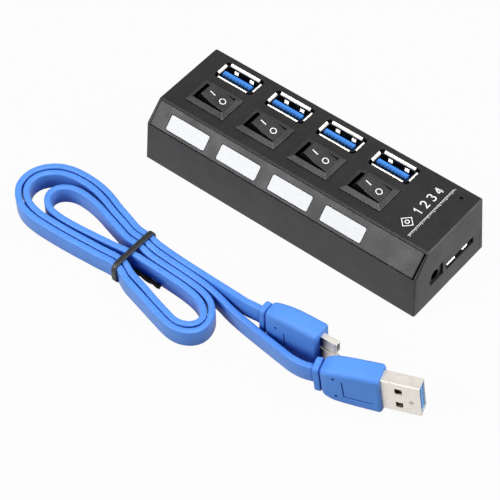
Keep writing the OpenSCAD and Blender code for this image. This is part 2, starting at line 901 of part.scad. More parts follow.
module plug_a_grip() {
    color(lead_blue)
        at_plug_a()
            difference() {
                union() {
                    hull() {
                        grip_slice(-plug_a_len, 11, 6.2, 1.6);
                        grip_slice(-plug_a_len + 2.6, 13, 7.4, 1.8);
                        grip_slice(-0.7, 14.8, 7.6, 1.8);
                        grip_slice(-eps, 13.8, 6.6, 1.5);
                    }
                    hull() {
                        grip_slice(-plug_a_len - collar_len, 9.4, 4.8, 1.4);
                        grip_slice(-plug_a_len + 0.5, 10.2, 5.6, 1.4);
                    }
                }
                translate([-plug_tail, -plug_a_t / 2 - fit, -plug_a_wid / 2 - fit])
                    cube([plug_tail + 1, plug_a_t + 2 * fit, plug_a_wid + 2 * fit]);
            }
}

module plug_a_shell() {
    color(socket_steel)
        at_plug_a()
            difference() {
                translate([-plug_tail, 0, 0])
                    rotate([90, 0, 90])
                        linear_extrude(plug_tail + plug_a_reach)
                            difference() {
                                polygon(round_rect(
                                    -plug_a_t / 2, plug_a_t / 2, -plug_a_wid / 2, plug_a_wid / 2, 0.5));
                                polygon(round_rect(
                                    -plug_a_t / 2 + sheet, plug_a_t / 2 - sheet,
                                    -plug_a_wid / 2 + sheet, plug_a_wid / 2 - sheet, 0.25));
                            }
                for (u = [-2.9, 2.9])
                    translate([plug_a_reach - 7.4, -plug_a_t, u - 1.15]) cube([2.2, 2 * plug_a_t, 2.3]);
            }
}

insert_wid = plug_a_wid - 2 * sheet - 0.3;

module plug_a_insert() {
    color(tongue_blue)
        at_plug_a()
            translate([-plug_tail, 0.1, -insert_wid / 2])
                cube([plug_tail + plug_a_reach - 0.6, plug_a_t / 2 - sheet - fit - 0.1, insert_wid]);
}

module plug_a_contacts() {
    color(contact_gold)
        at_plug_a()
            for (u = [-3.5, -1, 1, 3.5])
                translate([plug_a_reach - 9, -0.05, u - 0.55]) cube([7.4, 0.15, 1.1]);
}

plug_b_wid = 12.2;
plug_b_t = 1.9;
plug_b_sheet = 0.22;
// height of the narrow mouth, and the space to the wide one
plug_b_small = 4;
plug_b_space = 1.1;

module plug_b_grip() {
    color(lead_blue)
        at_plug_b()
            difference() {
                union() {
                    hull() {
                        grip_slice(-plug_b_len, 13, 5.4, 1.6);
                        grip_slice(-plug_b_len / 2, 16.2, 6.8, 1.8);
                        grip_slice(-0.7, 16.4, 6.8, 1.8);
                        grip_slice(-eps, 15.4, 6, 1.5);
                    }
                    hull() {
                        grip_slice(-plug_b_len - collar_len, 9.6, 4, 1.3);
                        grip_slice(-plug_b_len + 0.5, 10.6, 4.6, 1.3);
                    }
                }
                translate([-plug_tail, -plug_b_t / 2 - fit, -plug_b_wid / 2 - fit])
                    cube([plug_tail + 1, plug_b_t + 2 * fit, plug_b_wid + 2 * fit]);
            }
}

// The two mouths of the small plug, the narrow one on top.
module plug_b_outline(inset) {
    t = plug_b_t / 2 - inset;
    top = plug_b_wid / 2;
    polygon([
        [-t, top - inset], [t, top - inset],
        [t, top - plug_b_small + inset], [-t, top - plug_b_small + inset]
    ]);
    polygon([
        [-t, top - plug_b_small - plug_b_space - inset], [t - 0.6, top - plug_b_small - plug_b_space - inset],
        [t, top - plug_b_small - plug_b_space - 0.8 - inset], [t, -top + 0.8 + inset],
        [t - 0.6, -top + inset], [-t, -top + inset]
    ]);
}

module plug_b_shell() {
    color(socket_steel)
        at_plug_b()
            translate([-plug_tail, 0, 0])
                rotate([90, 0, 90])
                    linear_extrude(plug_tail + plug_b_reach)
                        difference() {
                            plug_b_outline(0);
                            plug_b_outline(plug_b_sheet);
                        }
}

// start and length of the slot in each mouth
plug_b_slots = [
    [plug_b_wid / 2 - plug_b_small + 0.7, plug_b_small - 1.4],
    [-plug_b_wid / 2 + 0.9, 5]
];
plug_b_pitch = (plug_b_slots[0][1] - 0.6) / 4;

module plug_b_insert() {
    color([0.12, 0.12, 0.13])
        at_plug_b()
            translate([-plug_tail, 0, 0])
                rotate([90, 0, 90])
                    linear_extrude(plug_tail + plug_b_reach - 0.8)
                        difference() {
                            plug_b_outline(plug_b_sheet + fit);
                            for (s = plug_b_slots) translate([-0.15, s[0]]) square([0.5, s[1]]);
                        }
}

module plug_b_contacts() {
    color(contact_gold)
        at_plug_b()
            for (i = [0:4]) {
                translate([0, -0.15, plug_b_slots[0][0] + 0.15 + i * plug_b_pitch])
                    cube([plug_b_reach - 1.4, 0.12, 0.3]);
                translate([0, -0.15, plug_b_slots[1][0] + 0.3 + i])
                    cube([plug_b_reach - 1.4, 0.12, 0.4]);
            }
}

// ---- nodes ----------------------------------------------------------------------

housing();
bottom_cover();
sloped_panel();
light_window(1);  // light_window_1
light_window(2);  // light_window_2
light_window(3);  // light_window_3
light_window(4);  // light_window_4
circuit_board();
hub_controller();
crystal();
capacitors();
port_leds();
power_led();
usb_shell(1);  // usb_shell_1
usb_shell(2);  // usb_shell_2
usb_shell(3);  // usb_shell_3
usb_shell(4);  // usb_shell_4
usb_tongue(1);  // usb_tongue_1
usb_tongue(2);  // usb_tongue_2
usb_tongue(3);  // usb_tongue_3
usb_tongue(4);  // usb_tongue_4
usb_contacts(1);  // usb_contacts_1
usb_contacts(2);  // usb_contacts_2
usb_contacts(3);  // usb_contacts_3
usb_contacts(4);  // usb_contacts_4
switch_housing(1);  // switch_housing_1
switch_housing(2);  // switch_housing_2
switch_housing(3);  // switch_housing_3
switch_housing(4);  // switch_housing_4
rocker(1);  // rocker_1
rocker(2);  // rocker_2
rocker(3);  // rocker_3
rocker(4);  // rocker_4
switch_terminals(1);  // switch_terminals_1
switch_terminals(2);  // switch_terminals_2
switch_terminals(3);  // switch_terminals_3
switch_terminals(4);  // switch_terminals_4
dc_jack_body();
dc_jack_pin();
dc_jack_spring();
micro_b_shell();
micro_b_tongue();
micro_b_contacts();
case_screws();
lead_hank();
lead_device_run();
lead_host_run();
lead_tie();
plug_a_grip();
plug_a_shell();
plug_a_insert();
plug_a_contacts();
plug_b_grip();
plug_b_shell();
plug_b_insert();
plug_b_contacts();
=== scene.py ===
import json
import math

import bmesh
import bpy
from mathutils import Matrix, Vector


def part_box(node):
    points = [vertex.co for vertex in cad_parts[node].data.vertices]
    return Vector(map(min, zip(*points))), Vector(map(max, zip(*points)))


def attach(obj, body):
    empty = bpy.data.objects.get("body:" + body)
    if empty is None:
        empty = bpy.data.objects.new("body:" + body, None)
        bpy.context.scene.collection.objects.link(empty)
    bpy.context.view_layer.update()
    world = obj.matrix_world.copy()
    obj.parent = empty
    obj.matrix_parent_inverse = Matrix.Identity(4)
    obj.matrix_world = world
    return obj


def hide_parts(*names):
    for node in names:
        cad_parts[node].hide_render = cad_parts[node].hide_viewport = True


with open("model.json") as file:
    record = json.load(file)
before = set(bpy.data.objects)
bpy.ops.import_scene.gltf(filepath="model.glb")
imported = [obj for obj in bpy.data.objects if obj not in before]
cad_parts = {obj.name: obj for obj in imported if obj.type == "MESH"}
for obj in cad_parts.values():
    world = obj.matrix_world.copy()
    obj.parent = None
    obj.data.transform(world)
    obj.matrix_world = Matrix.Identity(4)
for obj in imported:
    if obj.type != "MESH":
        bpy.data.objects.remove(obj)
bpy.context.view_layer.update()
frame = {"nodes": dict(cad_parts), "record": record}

bl_info = {
    "name": "Switched Desktop Hub",
    "version": (1, 0, 0),
    "blender": (4, 5, 0),
    "location": "View3D > Sidebar > Hub",
    "description": "Finishes a hub of switched sockets and lays its flat lead beside it",
    "category": "Object",
}

MM = 0.001
PORTS = (1, 2, 3, 4)
CASE_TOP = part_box("housing")[1][2]
FIRST_PORT_X = -0.0369
PORT_PITCH = 0.0199

# Crests of the contact springs, painted bright as highlights: middle and half size in X, from the socket's
# middle, and in Y.
SPRING_X = 0.00305
SPRING_HALF_X = 0.00078
SPRING_Y = 0.0133
SPRING_HALF_Y = 0.00031

# Runs of X over which the painted shade in the large plug's mouth and on the small plug's sides ends.
LARGE_MOUTH_SHADE = (0.0722, 0.0738)
SMALL_SHELL_SHADE = (0.0424, 0.0458)

# Middle line of the lead, from the small plug to the large one, through the tie six times.
REST_HEIGHT = 0.00325
TIE_X = -0.0254
DEVICE_RUN = [
    (0.02119, -0.04917, 0.0083), (0.01939, -0.04928, 0.0083), (0.0154, -0.0492, 0.0074),
    (0.0112, -0.0486, 0.0064), (0.0066, -0.0479, 0.0053), (0.0015, -0.0472, 0.0042),
    (-0.004, -0.0467, 0.0035), (-0.01, -0.0465, 0.00325), (-0.016, -0.0463, 0.00325),
    (-0.021, -0.046, 0.00325),
]
LEFT_OUTER_TURN = [
    (-0.0306, -0.045), (-0.0357, -0.0435), (-0.0408, -0.042), (-0.046, -0.0402), (-0.0512, -0.0391),
    (-0.0565, -0.0388), (-0.0618, -0.0393), (-0.0663, -0.041), (-0.0697, -0.0441), (-0.0715, -0.0477),
    (-0.0717, -0.0513), (-0.0707, -0.0546), (-0.0678, -0.0579), (-0.0638, -0.0602), (-0.0587, -0.0612),
    (-0.051, -0.0613), (-0.0428, -0.0609), (-0.0347, -0.0603),
]
RIGHT_OUTER_TURN = [
    (-0.0205, -0.062), (-0.0156, -0.0633), (-0.0105, -0.0646), (-0.0055, -0.0659), (0, -0.0671),
    (0.0037, -0.067), (0.0068, -0.0656), (0.0088, -0.0632), (0.0092, -0.0603), (0.0083, -0.0572),
    (0.0063, -0.0546), (0.0037, -0.0528), (0, -0.0518), (-0.0051, -0.0513), (-0.0102, -0.0511),
    (-0.0204, -0.0508),
]
LEFT_INNER_TURN = [
    (-0.0306, -0.0498), (-0.0357, -0.0484), (-0.0408, -0.047), (-0.0459, -0.0456), (-0.051, -0.0448),
    (-0.0551, -0.0448), (-0.0583, -0.0458), (-0.0607, -0.048), (-0.0613, -0.0508), (-0.06, -0.0534),
    (-0.0571, -0.0554), (-0.053, -0.0561), (-0.0459, -0.0559), (-0.0388, -0.0552), (-0.0326, -0.0545),
]
RIGHT_INNER_TURN = [
    (-0.0204, -0.0534), (-0.0102, -0.0535), (-0.0051, -0.0537), (-0.001, -0.0542), (0.0024, -0.0552),
    (0.005, -0.0568), (0.0066, -0.0588), (0.0069, -0.0605), (0.0062, -0.0625), (0.0042, -0.0642),
    (0.0012, -0.0649), (-0.0048, -0.0637), (-0.0098, -0.0624), (-0.0149, -0.0609), (-0.0205, -0.0595),
]
LEFT_MIDDLE_TURN = [
    (-0.0347, -0.0579), (-0.0428, -0.0585), (-0.051, -0.0589), (-0.0587, -0.0588), (-0.0633, -0.0577),
    (-0.0663, -0.0559), (-0.0684, -0.0534), (-0.0692, -0.0509), (-0.0689, -0.0481), (-0.0675, -0.0456),
    (-0.0648, -0.0432), (-0.061, -0.0417), (-0.0561, -0.0412), (-0.051, -0.0416), (-0.0459, -0.0428),
    (-0.0408, -0.0445), (-0.0357, -0.0459), (-0.0312, -0.0472),
]
HOST_RUN = [
    (-0.02, -0.0484, 0.00325), (-0.013, -0.0487, 0.00325), (-0.006, -0.0489, 0.00325),
    (0, -0.0493, 0.00325), (0.0055, -0.0502, 0.00325), (0.011, -0.0515, 0.00325),
    (0.017, -0.0525, 0.0033), (0.023, -0.0534, 0.0036), (0.028, -0.0543, 0.0042),
    (0.033, -0.0553, 0.005), (0.0373, -0.056, 0.0055), (0.041, -0.0559, 0.00575),
    (0.04325, -0.05534, 0.00595), (0.04495, -0.05479, 0.00613),
]
# Where the six strands pass through the tie, in the order of the route.
TIE_ORDER = (-0.0457, -0.0602, -0.0503, -0.0539, -0.0578, -0.048)

# Middle of each grip's front face, with the plug along its own +X.
PLUG_A_PLACE = (
    Matrix.Translation((0.0643, -0.0485, 0.0082))
    @ Matrix.Rotation(math.radians(18), 4, "Z") @ Matrix.Rotation(math.radians(-5.8), 4, "Y"))
PLUG_B_PLACE = Matrix.Translation((0.042, -0.0479, 0.0083)) @ Matrix.Rotation(math.radians(3.5), 4, "Z")


# ---- settings ---------------------------------------------------------------------

def colour_setting(name, description, default):
    return bpy.props.FloatVectorProperty(
        name=name, description=description, subtype="COLOR", size=3, min=0, max=1, default=default)


def distance_setting(name, description, default, low, high):
    return bpy.props.FloatProperty(
        name=name, description=description, subtype="DISTANCE", default=default, min=low, max=high)


def lamp_setting(name, description, default):
    return bpy.props.FloatProperty(
        name=name, description=description, subtype="POWER", default=default, min=0, max=50)


class CaseSettings(bpy.types.PropertyGroup):
    colour: colour_setting("Case", "Colour of the case's plastic", (0.012, 0.012, 0.0125))
    grain: distance_setting("Grain", "Size of the moulded texture", 0.00028, 0.0001, 0.002)
    switch_colour: colour_setting("Switches", "Colour of the switches", (0.017, 0.017, 0.019))
    mark_colour: colour_setting("Marks", "Colour of the printed marks", (0.82, 0.82, 0.82))
    window_colour: colour_setting("Windows", "Colour of the lit windows", (0.64, 0.65, 0.66))


class SocketSettings(bpy.types.PropertyGroup):
    steel: colour_setting("Sheet metal", "Colour of the plated shells", (0.80, 0.79, 0.765))
    tongue: colour_setting("Tongues", "Colour of the blue tongues", (0.045, 0.225, 0.69))


class LeadSettings(bpy.types.PropertyGroup):
    jacket: colour_setting("Jacket", "Colour of the lead", (0.086, 0.258, 0.735))
    width: distance_setting("Width", "Width of the flat lead", 0.0065, 0.004, 0.009)
    thickness: distance_setting("Thickness", "Thickness of the flat lead", 0.0021, 0.001, 0.003)
    tie_colour: colour_setting("Tie", "Colour of the wire tie", (0.02, 0.021, 0.023))


class StageSettings(bpy.types.PropertyGroup):
    top_power: lamp_setting("Top lamp", "Power of the soft lamp overhead", 7.7)
    front_power: lamp_setting("Front lamp", "Power of the soft lamp in front", 5.3)
    side_power: lamp_setting("Side lamp", "Power of the soft lamp at the inlets' side", 4.6)
    sky: bpy.props.FloatProperty(
        name="Sky", description="Level of the light from all round", default=0.22, min=0, max=2)


# ---- node helpers -----------------------------------------------------------------

def start_material(name):
    material = bpy.data.materials.new(name)
    material.use_nodes = True
    return material, material.node_tree, material.node_tree.nodes["Principled BSDF"]


def set_inputs(tree, node, inputs):
    """Links each input that is given a socket, and sets the others."""
    for key, value in inputs.items():
        if isinstance(value, bpy.types.NodeSocket):
            tree.links.new(value, node.inputs[key])
        else:
            node.inputs[key].default_value = value


def add_node(tree, kind, inputs=None, **settings):
    """Adds a node, sets its options, and sets or links its inputs."""
    node = tree.nodes.new(kind)
    for key, value in settings.items():
        setattr(node, key, value)
    set_inputs(tree, node, inputs or {})
    return node


def place_output(tree):
    return add_node(tree, "ShaderNodeTexCoord").outputs["Object"]


def axis(tree, vector, name):
    return add_node(tree, "ShaderNodeSeparateXYZ", {"Vector": vector}).outputs[name]


def facing(tree, name):
    """How far the surface faces along an axis, from -1 to 1."""
    return axis(tree, add_node(tree, "ShaderNodeTexCoord").outputs["Normal"], name)


def maths(tree, operation, *values):
    return add_node(tree, "ShaderNodeMath", dict(enumerate(values)), operation=operation).outputs[0]


def vector_maths(tree, operation, inputs):
    return add_node(tree, "ShaderNodeVectorMath", inputs, operation=operation).outputs[0]


def grain_noise(tree, where, size, detail=2.0, roughness=0.5):
    """Noise whose features are about size metres across."""
    return add_node(
        tree, "ShaderNodeTexNoise",
        {"Vector": where, "Scale": 1 / size, "Detail": detail, "Roughness": roughness},
    ).outputs["Fac"]


def spread(tree, value, low_in, high_in, low_out, high_out):
    return add_node(
        tree, "ShaderNodeMapRange",
        {"Value": value, "From Min": low_in, "From Max": high_in, "To Min": low_out, "To Max": high_out},
    ).outputs["Result"]


def uneven(tree, grain, low, high):
    """A value that wanders between low and high with the grain."""
    return spread(tree, grain, 0.3, 0.7, low, high)


def blend_colours(tree, factor, first, second):
    """Mixes two colours, each of them a socket or three numbers."""
    ends = [value if isinstance(value, bpy.types.NodeSocket) else (*value, 1) for value in (first, second)]
    return add_node(
        tree, "ShaderNodeMix", {"Factor": factor, 6: ends[0], 7: ends[1]}, data_type="RGBA").outputs[2]


def scaled(colour, factor):
    return tuple(min(channel * factor, 1) for channel in colour)


def shades(tree, factor, colour, low, high):
    """A colour that runs between two of its own shades."""
    return blend_colours(tree, factor, scaled(colour, low), scaled(colour, high))


def soft_edges(tree, radius):
    return add_node(tree, "ShaderNodeBevel", {"Radius": radius}, samples=4).outputs["Normal"]


def bumps(tree, height, distance, strength, normal=None):
    inputs = {"Height": height, "Distance": distance, "Strength": strength}
    if normal:
        inputs["Normal"] = normal
    return add_node(tree, "ShaderNodeBump", inputs).outputs["Normal"]


# ---- finishes ---------------------------------------------------------------------

def moulded_black(name, colour, grain, depth, roughness, edge, gloss, sides=1):
    """Black plastic with a fine spark-eroded texture; sides is the share of colour and gloss its upright
    sides keep, a painted shade on them.
    """
    material, tree, shader = start_material(name)
    where = place_output(tree)
    fine = grain_noise(tree, where, grain, 3)
    broad = grain_noise(tree, where, 0.008, 2)
    specks = spread(tree, grain_noise(tree, where, grain * 1.4, 1), 0.6, 0.72, 0, 1)
    body = shades(tree, spread(tree, fine, 0.35, 0.65, 0, 1), colour, 0.75, 1.3)
    body = blend_colours(tree, specks, body, scaled(colour, 2.4))
    if sides < 1:
        # painted shade: upright sides keep only the share sides of their colour and gloss
        level = spread(tree, facing(tree, "Z"), 0.3, 0.5, 0, 1)
        body = blend_colours(tree, level, scaled(colour, sides), body)
        gloss = spread(tree, level, 0, 1, gloss * sides, gloss)
    set_inputs(tree, shader, {
        "Base Color": body,
        "Specular IOR Level": gloss,
        "Roughness": uneven(tree, broad, roughness - 0.05, roughness + 0.05),
        "Normal": bumps(tree, fine, depth, 1.0, soft_edges(tree, edge)),
    })
    return material


def plated_sheet(name, colour, roughness, metallic=1, shade=None):
    """Plated sheet with faint rolling lines; if shade, a run of X, is given, its sides carry painted shade,
    dark up to that run.
    """
    material, tree, shader = start_material(name)
    where = place_output(tree)
    stretched = add_node(
        tree, "ShaderNodeMapping", {"Vector": where, "Scale": (0.12, 0.12, 1)}).outputs["Vector"]
    lines = grain_noise(tree, stretched, 0.00012, 2)
    patches = grain_noise(tree, where, 0.0025, 3)
    body = shades(tree, patches, colour, 0.93, 1.04)
    # painted shade: upright sides go near black until the run of X
    if shade:
        level = spread(tree, facing(tree, "Z"), 0.4, 0.7, 0, 1)
        lit = maths(tree, "MAXIMUM", level, spread(tree, axis(tree, where, "X"), *shade, 0, 1))
        body = blend_colours(tree, lit, (0.02, 0.025, 0.06), body)
    set_inputs(tree, shader, {
        "Base Color": body,
        "Metallic": metallic,
        "Roughness": uneven(tree, patches, roughness - 0.05, roughness + 0.08),
        "Normal": bumps(tree, lines, 0.000004, 0.6, soft_edges(tree, 0.00012)),
    })
    return material


def socket_sheet(colour):
    """The sockets' plating, with painted light: bright at the mouth and as highlights on the contact-spring
    crests, and painted shade, dull and near black, in the well.
    """
    material, tree, shader = start_material("socket_plating_painted_light")
    where = place_output(tree)
    height = axis(tree, where, "Z")
    mouth = spread(tree, height, CASE_TOP - 0.0003, CASE_TOP - 0.0001, 0, 1)
    along = maths(tree, "SUBTRACT", axis(tree, where, "X"), FIRST_PORT_X)
    from_port = maths(tree, "PINGPONG", along, PORT_PITCH / 2)
    near = maths(tree, "COMPARE", from_port, SPRING_X, SPRING_HALF_X)
    proud = maths(tree, "COMPARE", axis(tree, where, "Y"), SPRING_Y, SPRING_HALF_Y)
    upper = spread(tree, height, CASE_TOP - 0.0024, CASE_TOP - 0.0022, 0, 1)
    spring = maths(tree, "MULTIPLY", maths(tree, "MULTIPLY", near, proud), upper)
    # painted light on the mouth and spring crests; the rest of the well is painted shade
    bright = maths(tree, "MAXIMUM", mouth, spring)
    body = blend_colours(tree, bright, scaled(colour, 0.12), (0.72, 0.69, 0.63))
    crown = vector_maths(tree, "SCALE", {0: (0, -0.6, 1.8), "Scale": spring})
    raised = vector_maths(tree, "ADD", {0: soft_edges(tree, 0.00008), 1: crown})
    set_inputs(tree, shader, {
        "Base Color": blend_colours(tree, spring, body, scaled(colour, 1.25)),
        "Metallic": spread(tree, bright, 0, 1, 1, 0.3),
        "Roughness": uneven(tree, grain_noise(tree, where, 0.0016, 3), 0.24, 0.4),
        "Normal": vector_maths(tree, "NORMALIZE", {0: raised}),
    })
    return material


def satin_blue(name, colour, roughness, grain, depth, edge, light_through, gloss):
    """Soft blue plastic with a faint orange-peel surface, with painted shade where it is closed in: deeper in
    colour and less glossy there.
    """
    material, tree, shader = start_material(name)
    where = place_output(tree)
    peel = grain_noise(tree, where, grain, 2)
    cloud = grain_noise(tree, where, 0.012, 2)
    body = shades(tree, uneven(tree, cloud, 0, 1), colour, 0.95, 1.06)
    # painted shade: ambient occlusion darkens the colour and the gloss in crevices
    open_share = add_node(tree, "ShaderNodeAmbientOcclusion", {"Distance": 0.009}, samples=8).outputs["AO"]
    painted_crevice_shade = (colour[0] * 0.06, colour[1] * 0.2, colour[2] * 0.55)
    set_inputs(tree, shader, {
        "Base Color": blend_colours(tree, spread(tree, open_share, 0.2, 0.58, 0, 1), painted_crevice_shade, body),
        "Specular IOR Level": spread(tree, open_share, 0.25, 0.75, gloss * 0.15, gloss),
        "Roughness": uneven(tree, peel, roughness - 0.04, roughness + 0.06),
        "Subsurface Weight": light_through,
        "Subsurface Radius": (0.2, 0.5, 1.0),
        "Subsurface Scale": 0.0008,
        "Normal": bumps(tree, peel, depth, 0.7, soft_edges(tree, edge)),
    })
    return material


def diffuser_white(colour):
    """Milky window plastic with the mottle of light scattered inside it."""
    material, tree, shader = start_material("window_diffuser")
    mottle = grain_noise(tree, place_output(tree), 0.0011, 4, 0.6)
    set_inputs(tree, shader, {
        "Base Color": shades(tree, spread(tree, mottle, 0.35, 0.65, 0, 1), colour, 0.94, 1.04),
        "Roughness": uneven(tree, mottle, 0.38, 0.5),
        "Subsurface Weight": 0.15,
        "Subsurface Radius": (1, 1, 1),
        "Subsurface Scale": 0.001,
        "Normal": bumps(tree, mottle, 0.00002, 0.5, soft_edges(tree, 0.0002)),
    })
    return material


def plain_moulding(name, colour, roughness, gloss=0.5):
    """Smooth moulded plastic, a little uneven."""
    material, tree, shader = start_material(name)
    fine = grain_noise(tree, place_output(tree), 0.0004, 2)
    set_inputs(tree, shader, {
        "Base Color": shades(tree, fine, colour, 0.9, 1.1),
        "Specular IOR Level": gloss,
        "Roughness": uneven(tree, fine, roughness - 0.04, roughness + 0.04),
        "Normal": bumps(tree, fine, 0.000008, 0.8, soft_edges(tree, 0.0001)),
    })
    return material


def faced_black(colour):
    """The power jack's plastic: like the case on its outer face, with painted shade, near black and almost
    without gloss, in its bore and down its sides.
    """
    material, tree, shader = start_material("jack_black_painted_shade")
    where = place_output(tree)
    outer_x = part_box("dc_jack_body")[1][0]
    front = spread(tree, axis(tree, where, "X"), outer_x - 0.0003, outer_x - 0.0002, 0, 1)
    # painted shade everywhere but the outer face
    outer = maths(tree, "MULTIPLY", front, spread(tree, facing(tree, "X"), 0.6, 0.8, 0, 1))
    set_inputs(tree, shader, {
        "Base Color": shades(tree, outer, colour, 0.1, 1.6),
        "Specular IOR Level": spread(tree, outer, 0, 1, 0.03, 0.56),
        "Roughness": uneven(tree, grain_noise(tree, where, 0.0004, 2), 0.42, 0.5),
        "Normal": soft_edges(tree, 0.0001),
    })
    return material


def ridged_tongue(colour):
    """Blue tongue plastic, with painted shade along its front edge, dark, with the ribs between its contacts
    showing in it.
    """
    material, tree, shader = start_material("tongue_blue")
    where = place_output(tree)
    fine = grain_noise(tree, where, 0.0004, 2)
    front_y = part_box("usb_tongue_1")[0][1]
    # painted shade, darkest at the front edge
    shaded = spread(tree, axis(tree, where, "Y"), front_y + 0.0006, front_y + 0.0019, 1, 0)
    ribs = add_node(
        tree, "ShaderNodeTexWave", {"Vector": where, "Scale": 251}, bands_direction="X").outputs["Fac"]
    dark = shades(tree, ribs, colour, 0.06, 0.42)
    body = shades(tree, fine, colour, 0.92, 1.08)
    set_inputs(tree, shader, {
        "Base Color": blend_colours(tree, shaded, body, dark),
        "Roughness": uneven(tree, fine, 0.34, 0.42),
        "Normal": bumps(tree, fine, 0.000008, 0.8, soft_edges(tree, 0.0001)),
    })
    return material


def mouth_blue(colour):
    """The large plug's filling: blue at the mouth, and painted shade, near black, further back."""
    material, tree, shader = start_material("plug_insert_blue_painted_shade")
    where = place_output(tree)
    # painted shade deeper in than the mouth
    at_mouth = spread(tree, axis(tree, where, "X"), *LARGE_MOUTH_SHADE, 0, 1)
    set_inputs(tree, shader, {
        "Base Color": shades(tree, at_mouth, colour, 0.03, 1),
        "Roughness": uneven(tree, grain_noise(tree, where, 0.0004, 2), 0.38, 0.46),
    })
    return material


def gold_flash():
    """Thin gold plating, worn paler in patches."""
    material, tree, shader = start_material("gold_flash")
    patches = grain_noise(tree, place_output(tree), 0.0008, 2)
    set_inputs(tree, shader, {
        "Base Color": blend_colours(tree, patches, (0.62, 0.45, 0.17), (0.86, 0.66, 0.3)),
        "Metallic": 1,
        "Roughness": uneven(tree, patches, 0.22, 0.38),
    })
    return material


def board_mask():
    """Green solder mask with tracks showing through it."""
    material, tree, shader = start_material("board_mask")
    tracks = add_node(
        tree, "ShaderNodeTexBrick",
        {"Vector": place_output(tree), "Scale": 260, "Mortar Size": 0.02, "Brick Width": 1.4,
         "Row Height": 0.35},
    ).outputs["Fac"]
    set_inputs(tree, shader, {
        "Base Color": blend_colours(tree, tracks, (0.012, 0.085, 0.03), (0.03, 0.16, 0.06)),
        "Roughness": spread(tree, tracks, 0, 1, 0.32, 0.42),
        "Normal": bumps(tree, tracks, 0.00003, 0.6),
    })
    return material


def printed_mark(colour):
    """Thin printed ink, a little broken up by the texture under it."""
    material, tree, shader = start_material("printed_mark")
    worn = grain_noise(tree, place_output(tree), 0.00022, 2)
    set_inputs(tree, shader, {
        "Base Color": shades(tree, spread(tree, worn, 0.25, 0.5, 0, 1), colour, 0.72, 1),
        "Roughness": uneven(tree, worn, 0.45, 0.6),
    })
    return material


def coated_wire(colour):
    """The tie's dark ribbed coating, with painted shade near the floor: darker and less glossy there."""
    material, tree, shader = start_material("tie_coating")
    where = place_output(tree)
    ribs = add_node(
        tree, "ShaderNodeTexWave", {"Vector": where, "Scale": 900, "Distortion": 1.5, "Detail": 1},
        bands_direction="Y").outputs["Fac"]
    # painted shade below this height
    raised = spread(tree, axis(tree, where, "Z"), 0.0018, 0.0032, 0, 1)
    body = shades(tree, ribs, colour, 0.7, 1.5)
    set_inputs(tree, shader, {
        "Base Color": blend_colours(tree, raised, scaled(colour, 0.2), body),
        "Specular IOR Level": spread(tree, raised, 0, 1, 0.08, 0.5),
        "Roughness": spread(tree, ribs, 0, 1, 0.34, 0.44),
        "Normal": bumps(tree, ribs, 0.00003, 0.5),
    })
    return material


def wear(material, *node_names):
    """Gives CAD nodes a finish."""
    for name in node_names:
        for material_slot in frame["nodes"][name].material_slots:
            material_slot.material = material


# ---- mesh helpers -----------------------------------------------------------------

def build_object(name, builder):
    """Makes an object from a bmesh, which it uses up."""
    mesh = bpy.data.meshes.new(name)
    bmesh.ops.recalc_face_normals(builder, faces=builder.faces)
    builder.to_mesh(mesh)
    builder.free()
    piece = bpy.data.objects.new(name, mesh)
    bpy.context.scene.collection.objects.link(piece)
    return piece


def make_piece(name, builder, material, body="hub", smooth=True):
    """Makes a piece from a bmesh, with its finish and its slot, and hangs it on a body."""
    for face in builder.faces:
        face.smooth = smooth
    piece = build_object(name, builder)
    piece.data.materials.append(material)
    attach(piece, body)
    return piece


def loft(builder, rings, closed_loop=False):
    """Skins rings of equal point counts, in order, and closes the ends or joins them."""
    rows = [[builder.verts.new(point) for point in ring] for ring in rings]
    count = len(rows[0])
    pairs = list(zip(rows, rows[1:]))
    if closed_loop:
        pairs.append((rows[-1], rows[0]))
    for first, second in pairs:
        for i in range(count):
            j = (i + 1) % count
            builder.faces.new((first[i], first[j], second[j], second[i]))
    if not closed_loop:
        builder.faces.new(rows[0])
        builder.faces.new(list(reversed(rows[-1])))


def full_turn(count):
    """Even angles round a circle."""
    return [2 * math.pi * i / count for i in range(count)]


def rounded_outline(corners, steps):
    """A closed outline from corners of (u, v, radius), each turned into an arc of so many steps."""
    outline = []
    count = len(corners)
    for i, (u, v, radius) in enumerate(corners):
        here = Vector((u, v))
        back = (Vector(corners[i - 1][:2]) - here).normalized()
        ahead = (Vector(corners[(i + 1) % count][:2]) - here).normalized()
        half_angle = back.angle(ahead) / 2
        if radius <= 0 or half_angle > math.radians(89):
            outline.append(here)
            continue
        centre = here + (back + ahead).normalized() * (radius / math.sin(half_angle))
        start = here + back * (radius / math.tan(half_angle)) - centre
        end = here + ahead * (radius / math.tan(half_angle)) - centre
        turn = math.atan2(start.cross(end), start.dot(end))
        for step in range(steps + 1):
            outline.append(centre + Matrix.Rotation(turn * step / steps, 2) @ start)
    return outline


def flat_section(width, thickness, corner, steps=4):
    """Section of a flat bar, across and upright, with rounded edges."""
    half_w, half_t = width / 2, thickness / 2
    return rounded_outline(
        [(half_t, half_w, corner), (-half_t, half_w, corner), (-half_t, -half_w, corner),
         (half_t, -half_w, corner)], steps)


